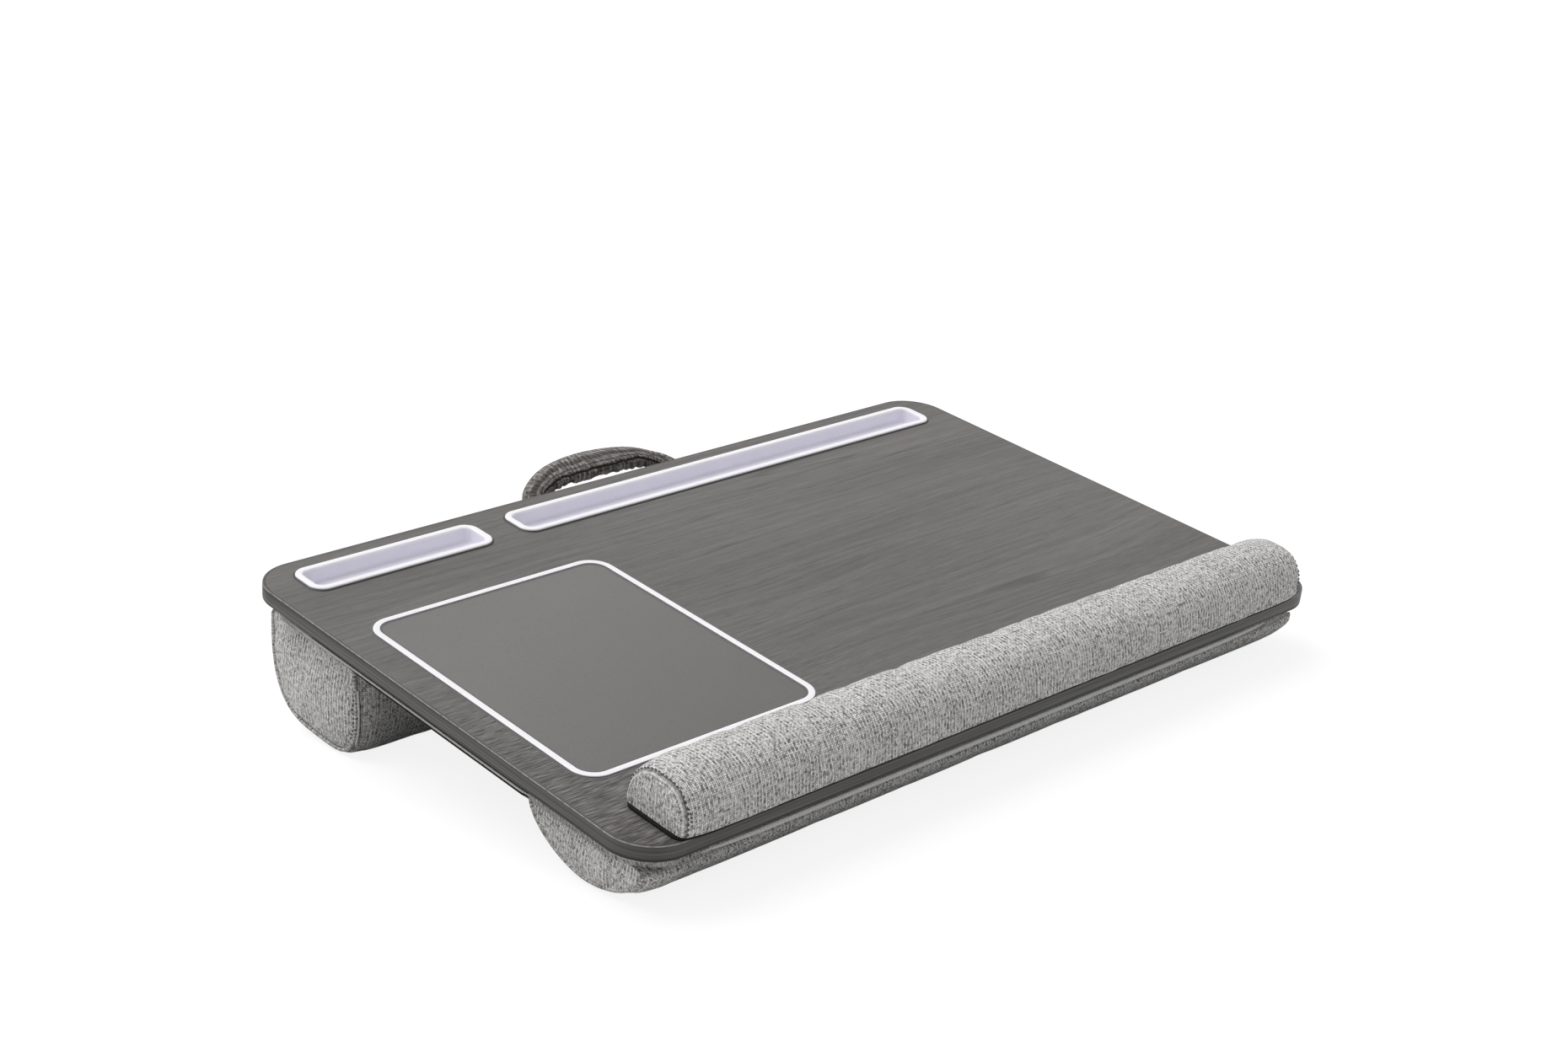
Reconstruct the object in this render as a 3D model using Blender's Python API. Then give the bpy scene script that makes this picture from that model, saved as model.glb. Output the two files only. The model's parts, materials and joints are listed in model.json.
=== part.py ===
"""A lap desk: a laminated board with two trays, a mouse pad and a wrist rest, on a cushion with two bolsters.

The pieces are drawn in the board's own frame: X to the right along its front edge, Y to the back, Z up
from its top face. An empty then stands the desk on its bolsters, which tilts the board.
"""

import math

import bmesh
import bpy
from mathutils import Vector

# Clearances, in metres like every size here
GAP = 0.0003
CUT_OVERRUN = 0.002
FLOOR_CUT = 0.0005
LEAST_RADIUS = 0.0004

# Board
BOARD_WIDTH = 0.549
BOARD_DEPTH = 0.362
BOARD_THICKNESS = 0.0093
BOARD_CORNER_RADIUS = 0.027
EDGE_BAND_THICKNESS = 0.0012
EDGE_BAND_ROUND = 0.0005

# Trays for a phone and a tablet, let into the board along its rear edge
TRAY_REAR_MARGIN = 0.0123
TRAY_DEPTH = 0.0304
TRAY_CORNER_RADIUS = 0.0095
TRAY_RIM_WIDTH = 0.0057
TRAY_RIM_HEIGHT = 0.0016
TRAY_RIM_ROUND = 0.0006
TRAY_WALL = 0.0016
TRAY_FLOOR = 0.0015
TRAY_FLOOR_FILLET = 0.0012
TRAY_SIDE_MARGIN = 0.0218
PHONE_TRAY_LENGTH = 0.1281
TRAY_SPACING = 0.0223

# Mouse pad and the white trim round it, in a shallow pocket
PAD_POCKET_DEPTH = 0.002
PAD_TRIM_LEFT = 0.0203
PAD_TRIM_FRONT = 0.0683
PAD_TRIM_WIDTH = 0.1687
PAD_TRAY_SPACING = 0.0458
PAD_TRIM_BREADTH = 0.0058
PAD_TRIM_RADIUS = 0.016
PAD_TRIM_PROUD = 0.0008
PAD_TRIM_ROUND = 0.0004
PAD_PROUD = 0.0002

# Soft covers
COVER_THICKNESS = 0.0014
PIPING_RADIUS = 0.0011

# Wrist rest
WRIST_END_MARGIN = 0.0246
WRIST_OVERHANG = 0.004
WRIST_DEPTH = 0.052
WRIST_HEIGHT = 0.0305
WRIST_END_DRAW = 0.0044
WRIST_END_ROUND = 0.027
WRIST_END_CROWN = 0.0016
WRIST_BASE_THICKNESS = 0.0016
WRIST_BASE_MARGIN = 0.003
WRIST_BASE_RADIUS = 0.004

# Padded panel under the board
PANEL_INSET = 0.006
PANEL_CORNER_RADIUS = 0.03
PANEL_THICKNESS = 0.0096
PANEL_EDGE_ROUND = 0.002

# Bolsters
BOLSTER_END_INSET = 0.011
BOLSTER_END_CROWN = 0.003
FRONT_BOLSTER_END_DRAW = 0.0034
FRONT_BOLSTER_END_ROUND = 0.024
REAR_BOLSTER_END_DRAW = 0.0028
REAR_BOLSTER_END_ROUND = 0.018
FRONT_BOLSTER_Y = 0.006
FRONT_BOLSTER_DEPTH = 0.101
FRONT_BOLSTER_DROP = 0.0298
REAR_BOLSTER_Y = 0.261
REAR_BOLSTER_DEPTH = 0.0915
REAR_BOLSTER_DROP = 0.0638

# Handle: a padded strap that swings on its two stitched roots behind the board
HANDLE_OUTER_SPAN = 0.132
HANDLE_ROOT_WIDTH = 0.016
HANDLE_REACH = 0.0405
HANDLE_FINGER_GAP = 0.0155
HANDLE_THICKNESS = 0.0076
HANDLE_ROOT_THICKNESS = 0.0024
HANDLE_LEAD = 0.003
HANDLE_RISE = 0.0075
HANDLE_PIVOT_OFFSET = 0.0032
HANDLE_SLEEVE_WALL = 0.0008
TAB_THICKNESS = 0.004
SCREW_RADIUS = 0.0015
SCREW_LENGTH = 0.0105
SCREW_HEAD_RADIUS = 0.0038
SCREW_HEAD_HEIGHT = 0.0014
SCREW_MARGIN = 0.007

# Shapes without a length: the power of each rounded profile, front half and back half
WRIST_POWERS = (3.0, 2.1)
FRONT_POWERS = (1.75, 1.75)
REAR_POWERS = (4.2, 3.1)
HANDLE_OUTER_POWER = 2.0
HANDLE_INNER_POWER = 3.5
HANDLE_SECTION_POWER = 3.0

# Shares of the length that each one is taken of
REAR_LEAN_SHARE = 0.152
END_RING_SHARES = (0.35, 0.7, 0.9, 1.0)
PANEL_ROUND_SHARE = 0.25
SCREW_CROWN_SHARE = 0.6
SCREW_TIP_SHARE = 0.2
HANDLE_FULL_SHARE = 0.45

# Angles
CREASE_ANGLE = math.radians(35)
STEEPEST_TILT = math.radians(30)

# Counts of facets, and of halvings in the search for the tilt
TILT_STEPS = 60
CORNER_STEPS = 6
PROFILE_STEPS = 20
FILLING_STEPS = 12
END_STEPS = 4
SCREW_STEPS = 12
HANDLE_STEPS = 22
HANDLE_SIDES = 10


def colour(red, green, blue):
    """A linear colour from the 8-bit values that a picture shows."""
    return [((value / 255 + 0.055) / 1.055) ** 2.4 for value in (red, green, blue)] + [1.0]


def material(name, rgba, roughness, metallic=0.0):
    made = bpy.data.materials.new(name)
    made.use_nodes = True
    shader = made.node_tree.nodes["Principled BSDF"]
    shader.inputs["Base Color"].default_value = rgba
    shader.inputs["Roughness"].default_value = roughness
    shader.inputs["Metallic"].default_value = metallic
    return made


def add_object(name, mesh, parent, look):
    """An object of the finished bmesh, smooth shaded with sharp creases kept."""
    data = bpy.data.meshes.new(name)
    bmesh.ops.recalc_face_normals(mesh, faces=mesh.faces)
    mesh.to_mesh(data)
    mesh.free()
    data.shade_smooth()
    data.set_sharp_from_angle(angle=CREASE_ANGLE)
    made = bpy.data.objects.new(name, data)
    bpy.context.scene.collection.objects.link(made)
    made.parent = parent
    if look:
        made.data.materials.append(material(name, *look))
    return made


def loft(name, rings, parent, look, capped=True):
    """A body through rings of equal counts. Without caps, its last ring joins its first one."""
    mesh = bmesh.new()
    loops = [[mesh.verts.new(point) for point in ring] for ring in rings]
    pairs = list(zip(loops, loops[1:]))
    if not capped:
        pairs.append((loops[-1], loops[0]))
    for lower, upper in pairs:
        for i in range(len(lower)):
            j = (i + 1) % len(lower)
            mesh.faces.new((lower[i], lower[j], upper[j], upper[i]))
    if capped:
        mesh.faces.new(loops[0])
        mesh.faces.new(loops[-1])
    return add_object(name, mesh, parent, look)


def rounded_rectangle(rect, radius, inset, height):
    """A rounded rectangle at one height. rect is left, front, right and back."""
    left, front, right, back = rect
    left, front, right, back = left + inset, front + inset, right - inset, back - inset
    radius = max(radius - inset, LEAST_RADIUS)
    centres = (
        (right - radius, back - radius),
        (left + radius, back - radius),
        (left + radius, front + radius),
        (right - radius, front + radius),
    )
    points = []
    for quarter, (x, y) in enumerate(centres):
        for step in range(CORNER_STEPS + 1):
            angle = (quarter + step / CORNER_STEPS) * math.pi / 2
            points.append(Vector((x + radius * math.cos(angle), y + radius * math.sin(angle), height)))
    return points


def stack(name, rect, radius, steps, parent, look, capped=True):
    """A body through rounded rectangles, each given by its inset and its height."""
    rings = [rounded_rectangle(rect, radius, inset, height) for inset, height in steps]
    return loft(name, rings, parent, look, capped)


def hide(tool):
    tool.hide_render = True
    tool.display_type = "WIRE"
    return tool


def stack_cutter(name, rect, radius, inset, low, high, parent):
    """An upright cutter of rounded outline from low to high."""
    return hide(stack(name, rect, radius, [(inset, low), (inset, high)], parent, None))


def box_cutter(name, low, high, parent):
    mesh = bmesh.new()
    bmesh.ops.create_cube(mesh, size=1)
    size = Vector(high) - Vector(low)
    middle = (Vector(high) + Vector(low)) / 2
    for vert in mesh.verts:
        vert.co = Vector([middle[i] + vert.co[i] * size[i] for i in range(3)])
    return hide(add_object(name, mesh, parent, None))


def rod_cutter(name, place, radius, low, high, parent):
    """An upright round cutter from low to high."""
    mesh = bmesh.new()
    bmesh.ops.create_cone(
        mesh, cap_ends=True, segments=SCREW_STEPS, radius1=radius, radius2=radius, depth=high - low
    )
    bmesh.ops.translate(mesh, verts=mesh.verts, vec=Vector((place[0], place[1], (low + high) / 2)))
    return hide(add_object(name, mesh, parent, None))


def cut(target, tool):
    change = target.modifiers.new(tool.name, "BOOLEAN")
    change.operation = "DIFFERENCE"
    change.object = tool


class Roll:
    """A soft roll along X with one flat side. Its profile is half a rounded box, drawn in at the ends.

    height is positive for a roll that rises from its flat side and negative for one that hangs from it.
    A share of 0 is the profile's front edge, and a share of 1 its back edge.
    """

    def __init__(self, x_ends, y_front, depth, z_flat, height, powers, lean_share, end_draw, end_round):
        self.x_start, self.x_end = x_ends
        self.y_middle = y_front + depth / 2
        self.half_depth = depth / 2
        self.z_flat = z_flat
        self.height = abs(height)
        self.side = math.copysign(1, height)
        self.powers = powers
        self.lean_share = lean_share
        self.end_draw = end_draw
        self.end_round = end_round

    def drawn_in(self, x):
        """How far the profile is drawn in at x: all of it at the ends, nothing past the end's round."""
        reach = min(x - self.x_start, self.x_end - x)
        share = min(max(1 - reach / self.end_round, 0), 1)
        return self.end_draw * (1 - math.sqrt(1 - share * share))

    def point(self, x, share, inset=0.0):
        inset = inset + self.drawn_in(x)
        angle = math.pi * share
        power = self.powers[0] if share < 0.5 else self.powers[1]
        across = -math.cos(angle)
        rise = math.sin(angle) ** (2 / power) * (self.height - inset)
        y = self.y_middle + math.copysign(abs(across) ** (2 / power), across) * (self.half_depth - inset)
        y -= self.lean_share * rise * (1 - share)
        return Vector((x, y, self.z_flat + self.side * rise))

    def profile(self, x, inset=0.0, steps=PROFILE_STEPS):
        return [self.point(x, step / steps, inset) for step in range(steps + 1)]

    def stations(self, margin=0.0):
        """Places along X, close together over the rounded ends."""
        first, last = self.x_start + margin, self.x_end - margin
        span = self.end_round - margin
        near = [span * (1 - math.cos(math.pi / 2 * step / END_STEPS)) for step in range(END_STEPS + 1)]
        middle = (first + last) / 2
        return [first + step for step in near] + [middle] + [last - step for step in reversed(near)]


def sheet_round(name, roll, margin, parent, look):
    """The cover's long piece: one cloth wrapped round the roll from flat edge to flat edge."""
    rings = []
    for x in roll.stations(margin):
        rings.append(roll.profile(x) + roll.profile(x, COVER_THICKNESS)[::-1])
    return loft(name, rings, parent, look)


def end_panel(name, roll, at_start, inset, crown, parent, look):
    """The cloth that closes one end of a roll, crowned outwards."""
    x_edge = roll.x_start if at_start else roll.x_end
    outwards = -1 if at_start else 1
    edge = roll.profile(x_edge, inset)
    centre = Vector((x_edge, roll.y_middle, roll.z_flat + roll.side * roll.height / 2))

    def ring(share, depth):
        bulge = outwards * (crown * (1 - share * share) - depth)
        return [centre.lerp(point, share) + Vector((bulge, 0, 0)) for point in edge]

    outer = [ring(share, 0.0) for share in END_RING_SHARES]
    inner = [ring(share, COVER_THICKNESS) for share in reversed(END_RING_SHARES)]
    return loft(name, outer + inner, parent, look)


def filling(name, roll, inset, end_margin, z_stop, parent, look):
    """The soft filling inside a cover, flat where it meets z_stop."""
    rings = []
    for x in roll.stations(end_margin):
        ring = roll.profile(x, inset, FILLING_STEPS)
        for point in ring:
            point.z = max(point.z, z_stop) if roll.side > 0 else min(point.z, z_stop)
        rings.append(ring)
    return loft(name, rings, parent, look)


def piping(name, roll, at_start, parent, look):
    """A corded seam along one end's edge, from flat side to flat side."""
    x_edge = roll.x_start if at_start else roll.x_end
    curve = bpy.data.curves.new(name, "CURVE")
    curve.dimensions = "3D"
    curve.bevel_depth = PIPING_RADIUS
    curve.bevel_resolution = 1
    curve.use_fill_caps = True
    spline = curve.splines.new("POLY")
    points = roll.profile(x_edge, PIPING_RADIUS)
    for point in points:
        point.z -= PIPING_RADIUS
    spline.points.add(len(points) - 1)
    for place, point in zip(spline.points, points):
        place.co = (*point, 1)
    spline.use_smooth = True
    made = bpy.data.objects.new(name, curve)
    bpy.context.scene.collection.objects.link(made)
    made.parent = parent
    curve.materials.append(material(name, *look))
    return made


def stand_angle(first, second):
    """The tilt at which both hanging rolls touch the floor, and how far below the board's frame that is."""

    def reach(roll, tilt):
        middle = (roll.x_start + roll.x_end) / 2
        return max(-math.sin(tilt) * p.y - math.cos(tilt) * p.z for p in roll.profile(middle))

    low, high = 0.0, STEEPEST_TILT
    for _ in range(TILT_STEPS):
        tilt = (low + high) / 2
        if reach(second, tilt) > reach(first, tilt):
            low = tilt
        else:
            high = tilt
    return tilt, reach(first, tilt)


FABRIC = (colour(168, 166, 164), 0.95)
SEAM_CLOTH = (colour(120, 118, 116), 0.95)
WHITE_PLASTIC = (colour(242, 241, 246), 0.4)
FOAM = (colour(214, 206, 176), 1.0)
BEADS = (colour(236, 236, 232), 1.0)
LAMINATE = (colour(116, 114, 111), 0.55)
DARK_EDGE = (colour(85, 82, 78), 0.6)
PAD_LEATHER = (colour(127, 125, 122), 0.6)
STRAP = (colour(110, 104, 100), 0.95)
STEEL = (colour(190, 190, 190), 0.35, 1.0)


def tray_rect(left, length):
    back = BOARD_DEPTH - TRAY_REAR_MARGIN
    return (left, back - TRAY_DEPTH, left + length, back)


def make_board(root):
    """The board's core with its laminated top, and the band round its edge."""
    rect = (0.0, 0.0, BOARD_WIDTH, BOARD_DEPTH)
    inset = EDGE_BAND_THICKNESS + GAP
    steps = [(inset, -BOARD_THICKNESS), (inset, 0.0)]
    board = stack("desk_board", rect, BOARD_CORNER_RADIUS, steps, root, LAMINATE)

    band_steps = [
        (EDGE_BAND_ROUND, -BOARD_THICKNESS),
        (0.0, EDGE_BAND_ROUND - BOARD_THICKNESS),
        (0.0, -EDGE_BAND_ROUND),
        (EDGE_BAND_ROUND, 0.0),
        (EDGE_BAND_THICKNESS, 0.0),
        (EDGE_BAND_THICKNESS, -BOARD_THICKNESS),
    ]
    stack("edge_band", rect, BOARD_CORNER_RADIUS, band_steps, root, DARK_EDGE, capped=False)
    return board


def make_tray(name, rect, board, root):
    """A moulded tray that drops through a slot in the board and rests on its rim."""
    wall_inset = TRAY_RIM_WIDTH - TRAY_WALL
    floor_top = TRAY_FLOOR - BOARD_THICKNESS
    steps = [
        (wall_inset + TRAY_RIM_ROUND, -BOARD_THICKNESS),
        (wall_inset, TRAY_RIM_ROUND - BOARD_THICKNESS),
        (wall_inset, GAP),
        (0.0, GAP),
        (0.0, TRAY_RIM_HEIGHT - TRAY_RIM_ROUND),
        (TRAY_RIM_ROUND, TRAY_RIM_HEIGHT),
        (TRAY_RIM_WIDTH - TRAY_RIM_ROUND, TRAY_RIM_HEIGHT),
        (TRAY_RIM_WIDTH, TRAY_RIM_HEIGHT - TRAY_RIM_ROUND),
        (TRAY_RIM_WIDTH, floor_top + TRAY_FLOOR_FILLET),
        (TRAY_RIM_WIDTH + TRAY_FLOOR_FILLET, floor_top),
    ]
    stack(name, rect, TRAY_CORNER_RADIUS, steps, root, WHITE_PLASTIC)

    slot_bottom = -BOARD_THICKNESS - CUT_OVERRUN
    slot = stack_cutter(
        name + "_slot", rect, TRAY_CORNER_RADIUS, wall_inset - GAP, slot_bottom, CUT_OVERRUN, root
    )
    cut(board, slot)


def make_mouse_pad(board, root):
    """The pad and its trim, in a pocket that follows the trim's outline."""
    rect = (
        PAD_TRIM_LEFT,
        PAD_TRIM_FRONT,
        PAD_TRIM_LEFT + PAD_TRIM_WIDTH,
        BOARD_DEPTH - TRAY_REAR_MARGIN - TRAY_DEPTH - PAD_TRAY_SPACING,
    )
    bottom = GAP - PAD_POCKET_DEPTH
    trim_steps = [
        (0.0, bottom),
        (0.0, PAD_TRIM_PROUD - PAD_TRIM_ROUND),
        (PAD_TRIM_ROUND, PAD_TRIM_PROUD),
        (PAD_TRIM_BREADTH - PAD_TRIM_ROUND, PAD_TRIM_PROUD),
        (PAD_TRIM_BREADTH, PAD_TRIM_PROUD - PAD_TRIM_ROUND),
        (PAD_TRIM_BREADTH, bottom),
    ]
    stack("mouse_pad_trim", rect, PAD_TRIM_RADIUS, trim_steps, root, WHITE_PLASTIC, capped=False)

    pad_inset = PAD_TRIM_BREADTH + GAP
    pad_steps = [(pad_inset, bottom), (pad_inset, 0.0), (pad_inset + PAD_PROUD, PAD_PROUD)]
    stack("mouse_pad", rect, PAD_TRIM_RADIUS, pad_steps, root, PAD_LEATHER)

    pocket = stack_cutter(
        "mouse_pad_pocket", rect, PAD_TRIM_RADIUS, -GAP, -PAD_POCKET_DEPTH, CUT_OVERRUN, root
    )
    cut(board, pocket)


def make_wrist_rest(root):
    """The wrist rest: a stiff base, a foam core, and a cover of one long piece and two ends."""
    ends = (WRIST_END_MARGIN, BOARD_WIDTH - WRIST_END_MARGIN)
    roll = Roll(
        ends, -WRIST_OVERHANG, WRIST_DEPTH, GAP, WRIST_HEIGHT, WRIST_POWERS, 0.0,
        WRIST_END_DRAW, WRIST_END_ROUND,
    )
    sheet_round("wrist_rest_cover", roll, COVER_THICKNESS + GAP, root, FABRIC)
    end_panel("wrist_rest_end_left", roll, True, 0.0, WRIST_END_CROWN, root, FABRIC)
    end_panel("wrist_rest_end_right", roll, False, 0.0, WRIST_END_CROWN, root, FABRIC)

    inside = COVER_THICKNESS + GAP
    base_margin = COVER_THICKNESS + WRIST_BASE_MARGIN
    base_rect = (
        ends[0] + base_margin,
        WRIST_BASE_MARGIN,
        ends[1] - base_margin,
        WRIST_DEPTH - WRIST_OVERHANG - base_margin,
    )
    base_top = GAP + WRIST_BASE_THICKNESS
    stack("wrist_rest_base", base_rect, WRIST_BASE_RADIUS, [(0.0, GAP), (0.0, base_top)], root, DARK_EDGE)
    filling("wrist_rest_foam", roll, inside, inside, base_top + GAP, root, FOAM)


def make_panel(root):
    """The padded panel that carries the bolsters: a cloth pan and the foam inside it."""
    rect = (PANEL_INSET, PANEL_INSET, BOARD_WIDTH - PANEL_INSET, BOARD_DEPTH - PANEL_INSET)
    radius = PANEL_CORNER_RADIUS
    top = -BOARD_THICKNESS - GAP
    bottom = -BOARD_THICKNESS - PANEL_THICKNESS
    wall = COVER_THICKNESS
    near_corner = PANEL_EDGE_ROUND * PANEL_ROUND_SHARE
    cover_steps = [
        (PANEL_EDGE_ROUND, bottom),
        (near_corner, bottom + near_corner),
        (0.0, bottom + PANEL_EDGE_ROUND),
        (0.0, top),
        (wall, top),
        (wall, bottom + PANEL_EDGE_ROUND),
        (PANEL_EDGE_ROUND, bottom + wall),
    ]
    cover = stack("base_panel_cover", rect, radius, cover_steps, root, FABRIC)
    inside = wall + GAP
    foam_steps = [
        (PANEL_EDGE_ROUND + inside, bottom + inside),
        (inside, bottom + inside + PANEL_EDGE_ROUND),
        (inside, top),
    ]
    foam = stack("base_panel_foam", rect, radius, foam_steps, root, FOAM)
    return cover, foam


def make_bolster(name, roll, floor, root):
    """A bolster: its filling, a cover of one long piece and two ends, and the corded seams between them."""
    cover = sheet_round(name + "_cover", roll, PIPING_RADIUS + GAP, root, FABRIC)
    cut(cover, floor)
    panel_inset = 2 * PIPING_RADIUS + GAP
    for side, at_start in (("left", True), ("right", False)):
        end_panel(f"{name}_end_{side}", roll, at_start, panel_inset, BOLSTER_END_CROWN, root, FABRIC)
        piping(f"{name}_piping_{side}", roll, at_start, root, SEAM_CLOTH)
    inside = COVER_THICKNESS + GAP
    filling(name + "_fill", roll, inside, inside + PIPING_RADIUS, roll.z_flat, root, BEADS)


def turned(name, steps, parent, look):
    """A body turned about its own Z axis, from radii and heights."""
    rings = []
    for radius, height in steps:
        ring = []
        for step in range(SCREW_STEPS):
            angle = 2 * math.pi * step / SCREW_STEPS
            ring.append(Vector((radius * math.cos(angle), radius * math.sin(angle), height)))
        rings.append(ring)
    return loft(name, rings, parent, look)


def screw_places():
    """The screws' places along Y: one before the tray's slot, one in the web behind it."""
    slot_back = BOARD_DEPTH - TRAY_REAR_MARGIN - TRAY_RIM_WIDTH + TRAY_WALL
    tray_front = BOARD_DEPTH - TRAY_REAR_MARGIN - TRAY_DEPTH
    return tray_front - SCREW_MARGIN, (slot_back + BOARD_DEPTH - EDGE_BAND_THICKNESS) / 2


def make_handle_tab(side, x_low, x_high, pivot_y, pivot_z, board, root):
    """A strap end under the board, rounded about the swing axis, and its two screws into the board."""
    half = TAB_THICKNESS / 2
    y_front = screw_places()[0] - SCREW_MARGIN
    outline = [(y_front, pivot_z + half), (y_front, pivot_z - half)]
    steps = 2 * CORNER_STEPS
    for step in range(steps + 1):
        angle = math.pi * (step / steps - 0.5)
        outline.append((pivot_y + half * math.cos(angle), pivot_z + half * math.sin(angle)))
    rings = [[Vector((x, y, z)) for y, z in outline] for x in (x_low, x_high)]
    tab = loft(f"handle_tab_{side}", rings, root, STRAP)

    tab_bottom = pivot_z - half
    head_top = tab_bottom - GAP
    x = (x_low + x_high) / 2
    for number, y in enumerate(screw_places(), 1):
        screw_steps = [
            (SCREW_HEAD_RADIUS * SCREW_CROWN_SHARE, -SCREW_HEAD_HEIGHT),
            (SCREW_HEAD_RADIUS, -SCREW_HEAD_HEIGHT / 2),
            (SCREW_HEAD_RADIUS, 0.0),
            (SCREW_RADIUS, 0.0),
            (SCREW_RADIUS, SCREW_LENGTH - 2 * SCREW_RADIUS),
            (SCREW_RADIUS * SCREW_TIP_SHARE, SCREW_LENGTH),
        ]
        screw = turned(f"handle_screw_{side}_{number}", screw_steps, root, STEEL)
        screw.location = (x, y, head_top)
        hole = rod_cutter(
            f"handle_hole_{side}_{number}", (x, y), SCREW_RADIUS + GAP,
            tab_bottom - CUT_OVERRUN, head_top + SCREW_LENGTH + GAP, root,
        )
        cut(tab, hole)
        cut(board, hole)
    return head_top - SCREW_HEAD_HEIGHT


def handle_ring(share, wall):
    """One ring of the strap's section, at a share of the way from its left root to its right root.

    The strap is an arch in plan between two rounded outlines. wall is how far the ring lies inside.
    """
    angle = math.pi * (1 - share)
    rise_share = math.sin(angle)

    def outline(span, reach, power):
        across = math.copysign(abs(math.cos(angle)) ** (2 / power), math.cos(angle))
        return Vector((across * span / 2, HANDLE_LEAD + rise_share ** (2 / power) * reach, 0.0))

    behind = HANDLE_PIVOT_OFFSET + HANDLE_LEAD
    inner_span = HANDLE_OUTER_SPAN - 2 * HANDLE_ROOT_WIDTH
    outer = outline(HANDLE_OUTER_SPAN, HANDLE_REACH - behind, HANDLE_OUTER_POWER)
    inner = outline(inner_span, HANDLE_FINGER_GAP - behind, HANDLE_INNER_POWER)
    middle = (outer + inner) / 2
    middle.z = HANDLE_RISE * rise_share
    half_width = (outer - inner) / 2
    swell = min(rise_share / HANDLE_FULL_SHARE, 1.0)
    thickness = HANDLE_ROOT_THICKNESS + (HANDLE_THICKNESS - HANDLE_ROOT_THICKNESS) * swell
    width_scale = 1 - wall / half_width.length
    ring = []
    for side in range(HANDLE_SIDES):
        turn = 2 * math.pi * (side + 0.5) / HANDLE_SIDES
        across = math.copysign(abs(math.cos(turn)) ** (2 / HANDLE_SECTION_POWER), math.cos(turn))
        up = math.copysign(abs(math.sin(turn)) ** (2 / HANDLE_SECTION_POWER), math.sin(turn))
        ring.append(middle + half_width * across * width_scale + Vector((0, 0, up * (thickness / 2 - wall))))
    return ring


def socket_ring(ring, radius):
    """The strap's end ring laid on the round about the swing axis, just clear of the tab."""
    return [Vector((p.x, math.sqrt(radius * radius - p.z * p.z), p.z)) for p in ring]


def make_handle(board, panel_pieces, root):
    """The carrying strap: two screwed tabs, and between them the sleeve and its core on the swing axis."""
    half_tab = TAB_THICKNESS / 2
    pivot_y = BOARD_DEPTH + HANDLE_PIVOT_OFFSET
    pivot_z = -BOARD_THICKNESS - GAP - half_tab
    middle_x = BOARD_WIDTH / 2
    pivot = bpy.data.objects.new("handle_pivot", None)
    bpy.context.scene.collection.objects.link(pivot)
    pivot.parent = root
    pivot.location = (middle_x, pivot_y, pivot_z)

    shares = [step / HANDLE_STEPS for step in range(HANDLE_STEPS + 1)]
    outer = [handle_ring(share, 0.0) for share in shares]
    bore = [handle_ring(share, HANDLE_SLEEVE_WALL) for share in shares]
    socket = half_tab + GAP
    for rings in (outer, bore):
        rings.insert(0, socket_ring(rings[0], socket))
        rings.append(socket_ring(rings[-1], socket))
    loft("handle_sleeve", outer + bore[::-1], pivot, STRAP, capped=False)

    core_wall = HANDLE_SLEEVE_WALL + GAP
    core_shares = shares[2:-2]
    loft("handle_core", [handle_ring(share, core_wall) for share in core_shares], pivot, FOAM)

    for side, sign in (("left", -1), ("right", 1)):
        outer_edge = middle_x + sign * HANDLE_OUTER_SPAN / 2
        edges = sorted((outer_edge - sign * HANDLE_ROOT_WIDTH, outer_edge))
        lowest = make_handle_tab(side, edges[0], edges[1], pivot_y, pivot_z, board, root)
        pocket = box_cutter(
            f"handle_pocket_{side}",
            (edges[0] - GAP, screw_places()[0] - SCREW_MARGIN - GAP, lowest - GAP),
            (edges[1] + GAP, BOARD_DEPTH + CUT_OVERRUN, CUT_OVERRUN - BOARD_THICKNESS),
            root,
        )
        for piece in panel_pieces:
            cut(piece, pocket)


def centre_in_plan(root):
    """Moves the stood desk so that its box is centred over the origin."""
    bpy.context.view_layer.update()
    graph = bpy.context.evaluated_depsgraph_get()
    corners = []
    for made in bpy.context.scene.objects:
        if made.type == "EMPTY" or made.hide_render:
            continue
        evaluated = made.evaluated_get(graph)
        shape = evaluated.to_mesh()
        corners.extend(evaluated.matrix_world @ vert.co for vert in shape.vertices)
        evaluated.to_mesh_clear()
    for axis in (0, 1):
        values = [corner[axis] for corner in corners]
        root.location[axis] -= (min(values) + max(values)) / 2


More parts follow.
